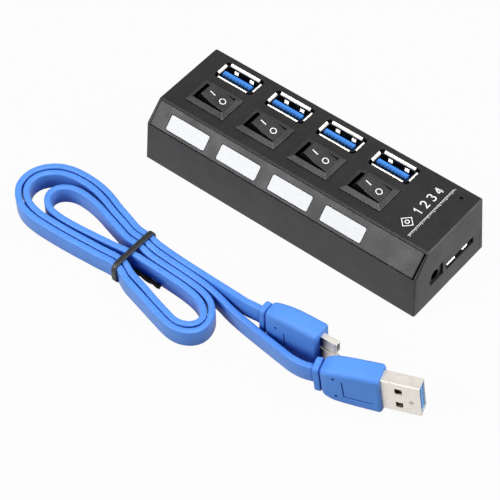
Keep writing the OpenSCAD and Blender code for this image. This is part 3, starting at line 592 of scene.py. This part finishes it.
def even_path(points, step):
    """A smooth curve through the points, resampled to even steps."""
    points = [Vector(point) for point in points]
    padded = [points[0] * 2 - points[1], *points, points[-1] * 2 - points[-2]]
    dense = []
    for i in range(1, len(padded) - 2):
        p0, p1, p2, p3 = padded[i - 1:i + 3]
        t1 = math.sqrt((p1 - p0).length)
        t2 = t1 + math.sqrt((p2 - p1).length)
        t3 = t2 + math.sqrt((p3 - p2).length)
        for k in range(12):
            t = t1 + (t2 - t1) * k / 12
            a1 = p0.lerp(p1, t / t1)
            a2 = p1.lerp(p2, (t - t1) / (t2 - t1))
            a3 = p2.lerp(p3, (t - t2) / (t3 - t2))
            b1 = a1.lerp(a2, t / t2)
            b2 = a2.lerp(a3, (t - t1) / (t3 - t1))
            dense.append(b1.lerp(b2, (t - t1) / (t2 - t1)))
    dense.append(points[-1])
    lengths = [0.0]
    for first, second in zip(dense, dense[1:]):
        lengths.append(lengths[-1] + (second - first).length)
    count = max(2, round(lengths[-1] / step))
    even, at = [], 0
    for k in range(count + 1):
        want = lengths[-1] * k / count
        while at < len(lengths) - 2 and lengths[at + 1] < want:
            at += 1
        part = (want - lengths[at]) / max(lengths[at + 1] - lengths[at], 1e-9)
        even.append(dense[at].lerp(dense[at + 1], part))
    return even, lengths[-1]


def stroke(builder, points, width, low, high, place):
    """A flat stroke of even width along points, from low to high."""
    points = [Vector(point) for point in points]
    left, right = [], []
    for i, point in enumerate(points):
        before = (point - points[max(i - 1, 0)]).normalized()
        after = (points[min(i + 1, len(points) - 1)] - point).normalized()
        along = (before + after).normalized()
        side = Vector((-along.y, along.x))
        straight = before if before.length else after
        reach = width / 2 / max(0.5, abs(straight.dot(along)))
        left.append(point + side * reach)
        right.append(point - side * reach)
    loft(builder, [
        [place @ Vector((*corner, height)) for corner, height in ((l, low), (r, low), (r, high), (l, high))]
        for l, r in zip(left, right)
    ])


def ring_mark(builder, centre, outer, inner, low, high, place, steps=40):
    """A flat printed ring."""
    rings = []
    for angle in full_turn(steps):
        way = Vector((math.cos(angle), math.sin(angle)))
        rings.append([
            place @ Vector((*(Vector(centre) + way * radius), height))
            for radius, height in ((outer, low), (inner, low), (inner, high), (outer, high))
        ])
    loft(builder, rings, closed_loop=True)


# ---- lead -------------------------------------------------------------------------

def lead_route():
    """The lead's whole middle line, with the small hump where it passes through the tie."""
    through = [(TIE_X, y, REST_HEIGHT + 0.0007) for y in TIE_ORDER]
    turns = [LEFT_OUTER_TURN, RIGHT_OUTER_TURN, LEFT_INNER_TURN, RIGHT_INNER_TURN, LEFT_MIDDLE_TURN]
    route = [*DEVICE_RUN, through[0]]
    for turn, crossing in zip(turns, through[1:]):
        route += [(x, y, REST_HEIGHT) for x, y in turn]
        route.append(crossing)
    return route + HOST_RUN


class HUB_OT_lay_lead(bpy.types.Operator):
    """Lay the flat lead in its tied loops"""
    bl_idname = "hub.lay_lead"
    bl_label = "Flat lead"

    def execute(self, context):
        settings = context.scene.hub_lead
        jacket = satin_blue("lead_jacket", settings.jacket, 0.36, 0.0006, 0.00001, 0.0002, 0.08, 0.34)
        path, length = even_path(lead_route(), 0.0014)
        for point in path:
            point.z = max(point.z, REST_HEIGHT)
        section = flat_section(settings.width, settings.thickness, 0.00062)
        builder = bmesh.new()
        rings = []
        for i, point in enumerate(path):
            along = (path[min(i + 1, len(path) - 1)] - path[max(i - 1, 0)]).normalized()
            across = Vector((-along.y, along.x, 0)).normalized()
            up = along.cross(across)
            rings.append([point + across * p.x + up * p.y for p in section])
        loft(builder, rings)
        lead = make_piece("flat_lead", builder, jacket)
        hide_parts("lead_hank", "lead_device_run", "lead_host_run")
        return {"FINISHED"}


class HUB_OT_wrap_tie(bpy.types.Operator):
    """Wrap the wire tie round the folded lead"""
    bl_idname = "hub.wrap_tie"
    bl_label = "Wire tie"

    def execute(self, context):
        coating = coated_wire(context.scene.hub_lead.tie_colour)
        low, high = (Vector(corner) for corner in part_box("lead_tie"))
        band = 0.0007
        front, back = low.y + band / 2, high.y - band / 2
        bottom, top = band / 2, high.z - band / 2
        loop = rounded_outline(
            [(back, top, 0.0016), (front, top, 0.0024), (front, bottom, 0.002), (back, bottom, 0.0012)], 8)
        section = flat_section(0.0019, band, 0.00033)
        builder = bmesh.new()
        rings = []
        for i, point in enumerate(loop):
            along = (loop[(i + 1) % len(loop)] - loop[i - 1]).normalized()
            out = Vector((0, along.y, -along.x))
            here = Vector((TIE_X, point.x, point.y))
            rings.append([here + Vector((p.y, 0, 0)) + out * p.x for p in section])
        loft(builder, rings, closed_loop=True)
        self.twist_tails(builder)
        tie = make_piece("wire_tie", builder, coating)
        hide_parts("lead_tie")
        return {"FINISHED"}

    def twist_tails(self, builder):
        """The tie's two ends, twisted together on the floor beside the inner strand."""
        start, end = Vector((-0.0239, -0.0551, 0.0009)), Vector((-0.0132, -0.0553, 0.0009))
        turns, orbit, radius = 1.1, 0.00032, 0.00056
        along = (end - start).normalized()
        side = Vector((-along.y, along.x, 0))
        for phase in (0, math.pi):
            rings = []
            for i in range(49):
                t = i / 48
                angle = phase + t * turns * 2 * math.pi
                way = side * math.cos(angle) + Vector((0, 0, 1)) * math.sin(angle)
                middle = start.lerp(end, t) + way * orbit
                reach = radius * math.sqrt(min(1, (1.02 - t) * 9))
                rings.append([
                    middle + side * math.cos(a) * reach + Vector((0, 0, math.sin(a) * reach))
                    for a in full_turn(12)
                ])
            loft(builder, rings)


# ---- plugs ------------------------------------------------------------------------

def cut_from(piece, cutter):
    """Cuts the cutter's shape out of a piece, for good."""
    modifier = piece.modifiers.new("cut", "BOOLEAN")
    modifier.object = cutter
    modifier.operation = "DIFFERENCE"
    modifier.solver = "EXACT"
    modifier.use_self = True
    bpy.context.view_layer.update()
    cut_mesh = bpy.data.meshes.new_from_object(
        piece.evaluated_get(bpy.context.evaluated_depsgraph_get()))
    piece.modifiers.clear()
    old = piece.data
    piece.data = cut_mesh
    bpy.data.meshes.remove(old)
    bpy.data.objects.remove(cutter)


def box_rings(low, high, place):
    """The two end rings of a plain block."""
    return [
        [place @ Vector((x, y, z))
         for y, z in ((low[1], low[2]), (high[1], low[2]), (high[1], high[2]), (low[1], high[2]))]
        for x in (low[0], high[0])
    ]


def grip_rings(stations, place):
    """Sections of a grip along the plug: distance, half height, half thickness and corner radius."""
    rings = []
    for along, high, wide, corner in stations:
        outline = flat_section(2 * high * MM, 2 * wide * MM, corner * MM, 8)
        rings.append([place @ Vector((along * MM, p.x, p.y)) for p in outline])
    return rings


def stepped(front, back, high, wide, corner, edge):
    """Stations of a plain band round the plug with a rounded edge at both ends."""
    stations = []
    for end, way, turns in ((front, -1, (0, 30, 60, 90)), (back, 1, (90, 60, 30, 0))):
        for turn in turns:
            along = end + way * edge * (1 - math.cos(math.radians(turn)))
            inset = edge * (1 - math.sin(math.radians(turn)))
            stations.append((along, high - inset, wide - inset, corner))
    return stations


def sink_marks(builder, place, face, dots, line):
    """What is sunk into a grip's flat side: round dots and one thin bent line."""
    dot_radius, dot_depth, line_half, line_depth = 0.48, 0.9, 0.19, 0.35
    for along, up in dots:
        rings = []
        for y in (face - 1, face + dot_depth):
            rings.append([
                place @ (Vector((along + dot_radius * math.cos(a), y, up + dot_radius * math.sin(a))) * MM)
                for a in full_turn(20)
            ])
        loft(builder, rings)
    for (x0, z0), (x1, z1) in zip(line, line[1:]):
        along = Vector((x1 - x0, 0, z1 - z0)).normalized() * line_half
        side = Vector((-along.z, 0, along.x))
        start, end = Vector((x0, 0, z0)) - along, Vector((x1, 0, z1)) + along
        rings = []
        for y in (face - 1, face + line_depth):
            depth = Vector((0, y, 0))
            rings.append([
                place @ ((corner + depth) * MM)
                for corner in (start - side, end - side, end + side, start + side)])
        loft(builder, rings)


def crisp(piece):
    """Keeps flat faces flat and rounded edges smooth."""
    piece.data.set_sharp_from_angle(angle=math.radians(34))
    normals = piece.modifiers.new("even_normals", "WEIGHTED_NORMAL")
    normals.keep_sharp = True


class HUB_OT_mould_plugs(bpy.types.Operator):
    """Mould the grips of the two plugs and finish their metal"""
    bl_idname = "hub.mould_plugs"
    bl_label = "Plugs"

    def execute(self, context):
        grip_blue = satin_blue(
            "plug_grip", context.scene.hub_lead.jacket, 0.42, 0.0004, 0.000012, 0.0003, 0.05, 0.22)
        self.mould(
            "large_plug_grip", "plug_a_grip", grip_blue, PLUG_A_PLACE,
            stations=[
                (0, 6.75, 3.15, 1.2), (-0.15, 7.05, 3.45, 1.45), (-0.4, 7.27, 3.67, 1.6),
                (-0.8, 7.4, 3.8, 1.7), (-7.5, 7.2, 3.8, 1.75), (-12, 6.95, 3.78, 1.8),
                (-14.2, 6.7, 3.72, 1.8), (-15.6, 6.35, 3.6, 1.8), (-16.7, 5.85, 3.45, 1.75),
                (-17.4, 5.4, 3.25, 1.65), (-17.7, 5.1, 3.0, 1.5), (-17.8, 4.8, 2.7, 1.3)],
            mouth=(2.25, 6.0), dots=[(-13.6, 3.8), (-13.2, -3.5)],
            line=[(-11.1, 3.2), (-10.8, -3.0), (-2.5, -3.2)],
            bands=[(-17.6, -18.5, 4.3, 2.2, 1.0, 0.2), (-18.3, -20.4, 5.1, 2.75, 1.3, 0.45)])
        self.mould(
            "small_plug_grip", "plug_b_grip", grip_blue, PLUG_B_PLACE,
            stations=[
                (0, 7.5, 2.7, 1.2), (-0.15, 7.85, 3.05, 1.5), (-0.45, 8.07, 3.27, 1.7),
                (-0.9, 8.2, 3.4, 1.85), (-6, 8.17, 3.4, 1.9), (-9.5, 8.05, 3.38, 1.9),
                (-12.5, 7.65, 3.32, 1.9), (-15, 7.1, 3.2, 1.85), (-16.8, 6.65, 3.0, 1.75),
                (-17.7, 6.35, 2.75, 1.6), (-18.1, 6.05, 2.45, 1.3), (-18.2, 5.75, 2.2, 1.1)],
            mouth=(0.95, 6.1), dots=[(-14.1, 2.3)], line=[(-11.2, 1.6), (-10.9, -3.4), (-3.4, -3.6)],
            bands=[(-18.0, -18.9, 4.4, 1.9, 0.9, 0.2), (-18.7, -20.8, 5.2, 2.35, 1.2, 0.45)])
        nickel = (0.9, 0.85, 0.77)
        wear(plated_sheet("plug_plating", nickel, 0.28, 0.5), "plug_a_shell")
        # the small plug's sides carry painted shade near its grip
        wear(plated_sheet("small_plug_plating_painted_shade", nickel, 0.28, 0.5, SMALL_SHELL_SHADE), "plug_b_shell")
        wear(mouth_blue((0.07, 0.3, 0.72)), "plug_a_insert")
        wear(plain_moulding("plug_insert_black", (0.02, 0.02, 0.022), 0.45), "plug_b_insert")
        wear(gold_flash(), "plug_a_contacts", "plug_b_contacts")
        # the dimple's darker brownish metal is painted shade
        self.press_dimple(plated_sheet("dimple_painted_shade", (0.3, 0.26, 0.22), 0.4, 0.5))
        return {"FINISHED"}

    def mould(self, name, node, material, place, stations, mouth, dots, line, bands):
        """A grip with its mouth and sunk marks cut in, and the bands of its collar as a second piece."""
        builder = bmesh.new()
        loft(builder, grip_rings(stations, place))
        grip = make_piece(name, builder, material)
        face = -max(wide for _, _, wide, _ in stations)
        cutter = bmesh.new()
        sink_marks(cutter, place, face, dots, line)
        wide, high = mouth[0] + 0.1, mouth[1] + 0.1
        loft(cutter, box_rings(
            Vector((-2.6, -wide, -high)) * MM, Vector((1, wide, high)) * MM, place))
        cut_from(grip, build_object(name + "_cutter", cutter))
        crisp(grip)
        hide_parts(node)
        builder = bmesh.new()
        for band in bands:
            loft(builder, grip_rings(stepped(*band), place))
        crisp(make_piece(name.replace("grip", "collar"), builder, material))

    def press_dimple(self, steel):
        """The small round dimple in the large plug's metal, its metal painted darker as a shade in the
        hollow.
        """
        builder = bmesh.new()
        profile = [
            (0.00062, 0.0), (0.0005, 0.00009), (0.00036, 0.00002), (0.0002, -0.00004),
            (0.0002, -0.0001), (0.00062, -0.0001)]
        middle = Vector((0.0089, -0.00225, -0.0006))
        loft(builder, [
            [PLUG_A_PLACE @ (middle + Vector((r * math.cos(angle), -out, r * math.sin(angle))))
             for r, out in profile]
            for angle in full_turn(24)
        ], closed_loop=True)
        make_piece("plug_dimple", builder, steel)


# ---- hub --------------------------------------------------------------------------

class HUB_OT_finish_case(bpy.types.Operator):
    """Finish the case, its sloped panel, the windows and the screws"""
    bl_idname = "hub.finish_case"
    bl_label = "Case"

    def execute(self, context):
        settings = context.scene.hub_case
        black = moulded_black("case_black", settings.colour, settings.grain, 0.00003, 0.46, 0.0004, 0.56)
        wear(black, "housing", "bottom_cover", "sloped_panel")
        wear(diffuser_white(settings.window_colour), *(f"light_window_{port}" for port in PORTS))
        wear(plated_sheet("screw_zinc", (0.55, 0.55, 0.57), 0.35), "case_screws")
        return {"FINISHED"}


class HUB_OT_finish_sockets(bpy.types.Operator):
    """Finish the sockets and the two inlets"""
    bl_idname = "hub.finish_sockets"
    bl_label = "Sockets and inlets"

    def execute(self, context):
        settings = context.scene.hub_sockets
        sheet = socket_sheet(settings.steel)
        tongue = ridged_tongue(settings.tongue)
        gold = gold_flash()
        black = plain_moulding("inlet_black", (0.003, 0.003, 0.0035), 0.4, gloss=0.1)
        # painted shade: the data inlet's shell and the jack's spring are near black for the shade in the slot
        # and bore
        shade = plain_moulding("inlet_painted_shade", (0.01, 0.01, 0.01), 0.5, gloss=0.1)
        for port in PORTS:
            wear(sheet, f"usb_shell_{port}")
            wear(tongue, f"usb_tongue_{port}")
            wear(gold, f"usb_contacts_{port}", f"switch_terminals_{port}")
        wear(shade, "micro_b_shell", "dc_jack_spring")
        wear(faced_black(context.scene.hub_case.colour), "dc_jack_body")
        wear(black, "micro_b_tongue")
        wear(gold, "dc_jack_pin", "micro_b_contacts")
        self.flare_lips(plated_sheet("inlet_plating", (0.95, 0.95, 0.94), 0.35, 0.3))
        return {"FINISHED"}

    def flare_lips(self, steel):
        """The two sprung lips along the lower edge of the data inlet."""
        low, high = (Vector(corner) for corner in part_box("micro_b_shell"))
        profile = [(-0.08, 0.03), (-0.75, 0.74), (-0.88, 0.64), (-0.2, -0.03)]
        builder = bmesh.new()
        for start, end in ((1.1, 5.3), (8.6, 11.5)):
            loft(builder, [
                [Vector((high.x + x * MM, low.y + y * MM, low.z + z * MM)) for x, z in profile]
                for y in (start, end)])
        make_piece("inlet_lips", builder, steel, smooth=False)


def digit_strokes(digit):
    """A plain numeral as strokes in a cell 0.6 wide and 1 high."""
    return {
        1: [[(0.12, 0.78), (0.36, 1.0), (0.36, 0.0)]],
        2: [[(0.03, 0.76), (0.1, 0.92), (0.29, 1.0), (0.48, 0.93), (0.56, 0.75), (0.49, 0.55), (0.28, 0.3),
             (0.05, 0.04), (0.6, 0.04)]],
        3: [[(0.04, 0.86), (0.15, 0.97), (0.32, 1.0), (0.48, 0.94), (0.54, 0.77), (0.46, 0.61), (0.28, 0.54)],
            [(0.28, 0.54), (0.48, 0.46), (0.57, 0.28), (0.49, 0.09), (0.3, 0.0), (0.12, 0.04), (0.02, 0.16)]],
        4: [[(0.44, 0.0), (0.44, 1.0)], [(0.44, 1.0), (0.02, 0.32)], [(0.02, 0.29), (0.62, 0.29)]],
    }[digit]


class HUB_OT_print_marks(bpy.types.Operator):
    """Print plain numerals, a rule and a blank badge on the case top"""
    bl_idname = "hub.print_marks"
    bl_label = "Printed marks"

    def execute(self, context):
        ink = printed_mark(context.scene.hub_case.mark_colour)
        low, high = CASE_TOP - 0.00002, CASE_TOP + 0.00003
        flat = Matrix.Identity(4)
        builder = bmesh.new()
        # a diamond, drawn as a ring of four steps, with a small ring in it
        badge, diamond, line = (0.0389, -0.0041), 0.0023, 0.00028
        ring_mark(builder, badge, diamond, diamond - line * 1.41, low, high, flat, 4)
        ring_mark(builder, badge, 0.0008, 0.00048, low, high, flat, 24)
        # numerals that read towards the back of the case
        size, first, pitch = 0.0029, (0.0404, 0.0002), 0.0034
        turned = Matrix.Rotation(math.pi / 2, 4, "Z")
        for port in PORTS:
            place = Matrix.Translation((first[0], first[1] + (port - 1) * pitch, 0)) @ turned
            for points in digit_strokes(port):
                stroke(builder, [(u * size, v * size) for u, v in points], 0.0004, low, high, place)
        # a fine rule with ticks beside them, every fifth one longer
        rule_x, tick_x, fine = 0.0422, 0.0424, 0.00016
        stroke(builder, [(rule_x, -0.0083), (rule_x, 0.0145)], fine, low, high, flat)
        for i in range(39):
            y = -0.008 + i * 0.0006
            tick = 0.00036 if i % 5 else 0.00066
            stroke(builder, [(tick_x, y), (tick_x + tick, y)], fine, low, high, flat)
        make_piece("top_marks", builder, ink, smooth=False)
        return {"FINISHED"}


class HUB_OT_finish_switches(bpy.types.Operator):
    """Finish the switches and print the I and O on their rockers"""
    bl_idname = "hub.finish_switches"
    bl_label = "Switches"

    def execute(self, context):
        settings = context.scene.hub_case
        colour = settings.switch_colour
        # the bezel's and rocker's upright sides keep 0.03 of their colour and gloss, a painted shade
        bezel = moulded_black("switch_bezel", colour, 0.0004, 0.00001, 0.38, 0.0003, 1.0, 0.03)
        satin = moulded_black("rocker_satin_painted_shade", colour, 0.0003, 0.000012, 0.34, 0.0003, 0.9, 0.03)
        ink = printed_mark(settings.mark_colour)
        joints = {joint["name"]: joint for joint in frame["record"]["behaviour"]["joints"]}
        for port in PORTS:
            wear(bezel, f"switch_housing_{port}")
            wear(satin, f"rocker_{port}")
            joint = joints[f"rocker_{port}_pivot"]
            tilt = math.radians(joint["range_deg"][1] / 2)
            rocker = Matrix.Translation(joint["pos_m"]) @ Matrix.Rotation(tilt, 4, "Y")
            self.print_rocker(port, rocker, ink)
        return {"FINISHED"}

    def print_rocker(self, port, rocker, ink):
        """I on the raised half and O on the pressed half, each flush with its slope."""
        tip_x, tip_z, dip_z = 0.00434, 0.00477, 0.00445
        lean = math.atan2(tip_z - dip_z, tip_x)
        low, high = -0.00003, 0.00002
        raised = rocker @ Matrix.Translation((0, 0, dip_z)) @ Matrix.Rotation(lean, 4, "Y")
        pressed = rocker @ Matrix.Translation((0, 0, dip_z)) @ Matrix.Rotation(-lean, 4, "Y")
        builder = bmesh.new()
        stroke(builder, [(-0.00306, 0), (-0.00096, 0)], 0.00036, low, high, raised)
        ring_mark(builder, (0.00205, 0), 0.0011, 0.0008, low, high, pressed)
        make_piece(f"rocker_marks_{port}", builder, ink, f"rocker_{port}", smooth=False)


class HUB_OT_finish_inside(bpy.types.Operator):
    """Finish the circuit board and what stands on it"""
    bl_idname = "hub.finish_inside"
    bl_label = "Circuit board"

    def execute(self, context):
        wear(board_mask(), "circuit_board")
        wear(plain_moulding("chip_black", (0.02, 0.02, 0.02), 0.5), "hub_controller")
        wear(plated_sheet("crystal_can", (0.7, 0.7, 0.72), 0.28), "crystal")
        wear(plated_sheet("capacitor_can", (0.78, 0.78, 0.8), 0.3), "capacitors")
        wear(plain_moulding("lamp_package", (0.8, 0.78, 0.68), 0.35), "port_leds", "power_led")
        return {"FINISHED"}


# ---- stage ------------------------------------------------------------------------

class HUB_OT_place_camera(bpy.types.Operator):
    """Place the camera above the front right of the hub"""
    bl_idname = "hub.place_camera"
    bl_label = "Camera"

    def execute(self, context):
        data = bpy.data.cameras.new("camera")
        data.lens = 156.15
        data.sensor_width = 36
        camera = bpy.data.objects.new("camera", data)
        camera.location = (0.27447, -0.34631, 0.49775)
        camera.rotation_euler = [math.radians(angle) for angle in (40.2988, 1.3434, 39.3115)]
        context.scene.collection.objects.link(camera)
        context.scene.camera = camera
        return {"FINISHED"}


def white_to_the_eye(tree, lit, white_share):
    """Mixes a lit shader with plain white for what the camera and reflections see."""
    rays = add_node(tree, "ShaderNodeLightPath").outputs
    seen = maths(tree, "MAXIMUM", rays["Is Camera Ray"], rays["Is Glossy Ray"])
    seen = maths(tree, "MAXIMUM", seen, rays["Is Transmission Ray"])
    share = maths(tree, "MULTIPLY", seen, white_share)
    white = add_node(tree, "ShaderNodeEmission", {"Color": (1, 1, 1, 1), "Strength": 1.0}).outputs[0]
    return add_node(tree, "ShaderNodeMixShader", {0: share, 1: lit, 2: white}).outputs[0]


class HUB_OT_set_stage(bpy.types.Operator):
    """Set the floor, the soft lamps and the sky"""
    bl_idname = "hub.set_stage"
    bl_label = "Stage"

    def execute(self, context):
        settings = context.scene.hub_stage
        self.lay_floor()
        self.hang_lamp("top_lamp", (0.12, -0.12, 0.95), (0.6, 0.6), settings.top_power)
        self.hang_lamp("front_lamp", (-0.42, -0.72, 0.52), (0.4, 0.5), settings.front_power)
        self.hang_lamp("side_lamp", (0.68, 0.45, 0.4), (0.45, 0.45), settings.side_power)
        self.light_sky(settings.sky)
        context.scene.view_settings.view_transform = "Standard"
        return {"FINISHED"}

    def lay_floor(self):
        """A wide floor, just under the rest plane so that nothing shares its face."""
        builder = bmesh.new()
        reach, height = 3.0, -0.00005
        corners = ((-reach, -reach), (reach, -reach), (reach, reach), (-reach, reach))
        builder.faces.new([builder.verts.new((x, y, height)) for x, y in corners])
        mesh = bpy.data.meshes.new("floor")
        builder.to_mesh(mesh)
        builder.free()
        floor = bpy.data.objects.new("floor", mesh)
        bpy.context.scene.collection.objects.link(floor)
        material, tree, shader = start_material("floor_white")
        set_inputs(tree, shader, {
            "Base Color": (0.3, 0.3, 0.3, 1), "Roughness": 0.9, "Specular IOR Level": 0.1})
        set_inputs(tree, tree.nodes["Material Output"], {
            "Surface": white_to_the_eye(tree, shader.outputs[0], 0.96)})
        mesh.materials.append(material)

    def hang_lamp(self, name, spot, size, power):
        data = bpy.data.lights.new(name, "AREA")
        data.shape = "RECTANGLE"
        data.size, data.size_y = size
        data.energy = power
        lamp = bpy.data.objects.new(name, data)
        lamp.location = spot
        aim = Vector((0, -0.02, 0)) - Vector(spot)
        lamp.rotation_euler = aim.to_track_quat("-Z", "Y").to_euler()
        bpy.context.scene.collection.objects.link(lamp)

    def light_sky(self, level):
        world = bpy.data.worlds.new("sky")
        bpy.context.scene.world = world
        world.use_nodes = True
        tree = world.node_tree
        dim = tree.nodes["Background"]
        set_inputs(tree, dim, {"Color": (1, 1, 1, 1), "Strength": level})
        seen = add_node(tree, "ShaderNodeLightPath").outputs["Is Camera Ray"]
        white = add_node(tree, "ShaderNodeBackground", {"Color": (1, 1, 1, 1), "Strength": 1.0}).outputs[0]
        mixed = add_node(tree, "ShaderNodeMixShader", {0: seen, 1: dim.outputs[0], 2: white}).outputs[0]
        set_inputs(tree, tree.nodes["World Output"], {"Surface": mixed})


# ---- panel ------------------------------------------------------------------------

STEPS = (
    HUB_OT_place_camera, HUB_OT_lay_lead, HUB_OT_wrap_tie, HUB_OT_mould_plugs, HUB_OT_finish_case,
    HUB_OT_finish_sockets, HUB_OT_finish_switches, HUB_OT_print_marks, HUB_OT_finish_inside,
    HUB_OT_set_stage,
)
SETTINGS = (
    ("hub_case", CaseSettings), ("hub_sockets", SocketSettings), ("hub_lead", LeadSettings),
    ("hub_stage", StageSettings),
)


class HUB_PT_steps(bpy.types.Panel):
    """The hub's pieces and their settings"""
    bl_idname = "HUB_PT_steps"
    bl_label = "Hub"
    bl_space_type = "VIEW_3D"
    bl_region_type = "UI"
    bl_category = "Hub"

    def draw(self, context):
        for name, group in SETTINGS:
            box = self.layout.box()
            for field in group.__annotations__:
                box.prop(getattr(context.scene, name), field)
        for step in STEPS:
            self.layout.operator(step.bl_idname)


def register():
    for name, group in SETTINGS:
        bpy.utils.register_class(group)
        setattr(bpy.types.Scene, name, bpy.props.PointerProperty(type=group))
    for step in STEPS:
        bpy.utils.register_class(step)
    bpy.utils.register_class(HUB_PT_steps)


def unregister():
    bpy.utils.unregister_class(HUB_PT_steps)
    for step in reversed(STEPS):
        bpy.utils.unregister_class(step)
    for name, group in reversed(SETTINGS):
        delattr(bpy.types.Scene, name)
        bpy.utils.unregister_class(group)


def main():
    register()
    bpy.ops.hub.place_camera()
    bpy.ops.hub.lay_lead()
    bpy.ops.hub.wrap_tie()
    bpy.ops.hub.mould_plugs()
    bpy.ops.hub.finish_case()
    bpy.ops.hub.finish_sockets()
    bpy.ops.hub.finish_switches()
    bpy.ops.hub.print_marks()
    bpy.ops.hub.finish_inside()
    bpy.ops.hub.set_stage()


if __name__ == "__main__":
    main()
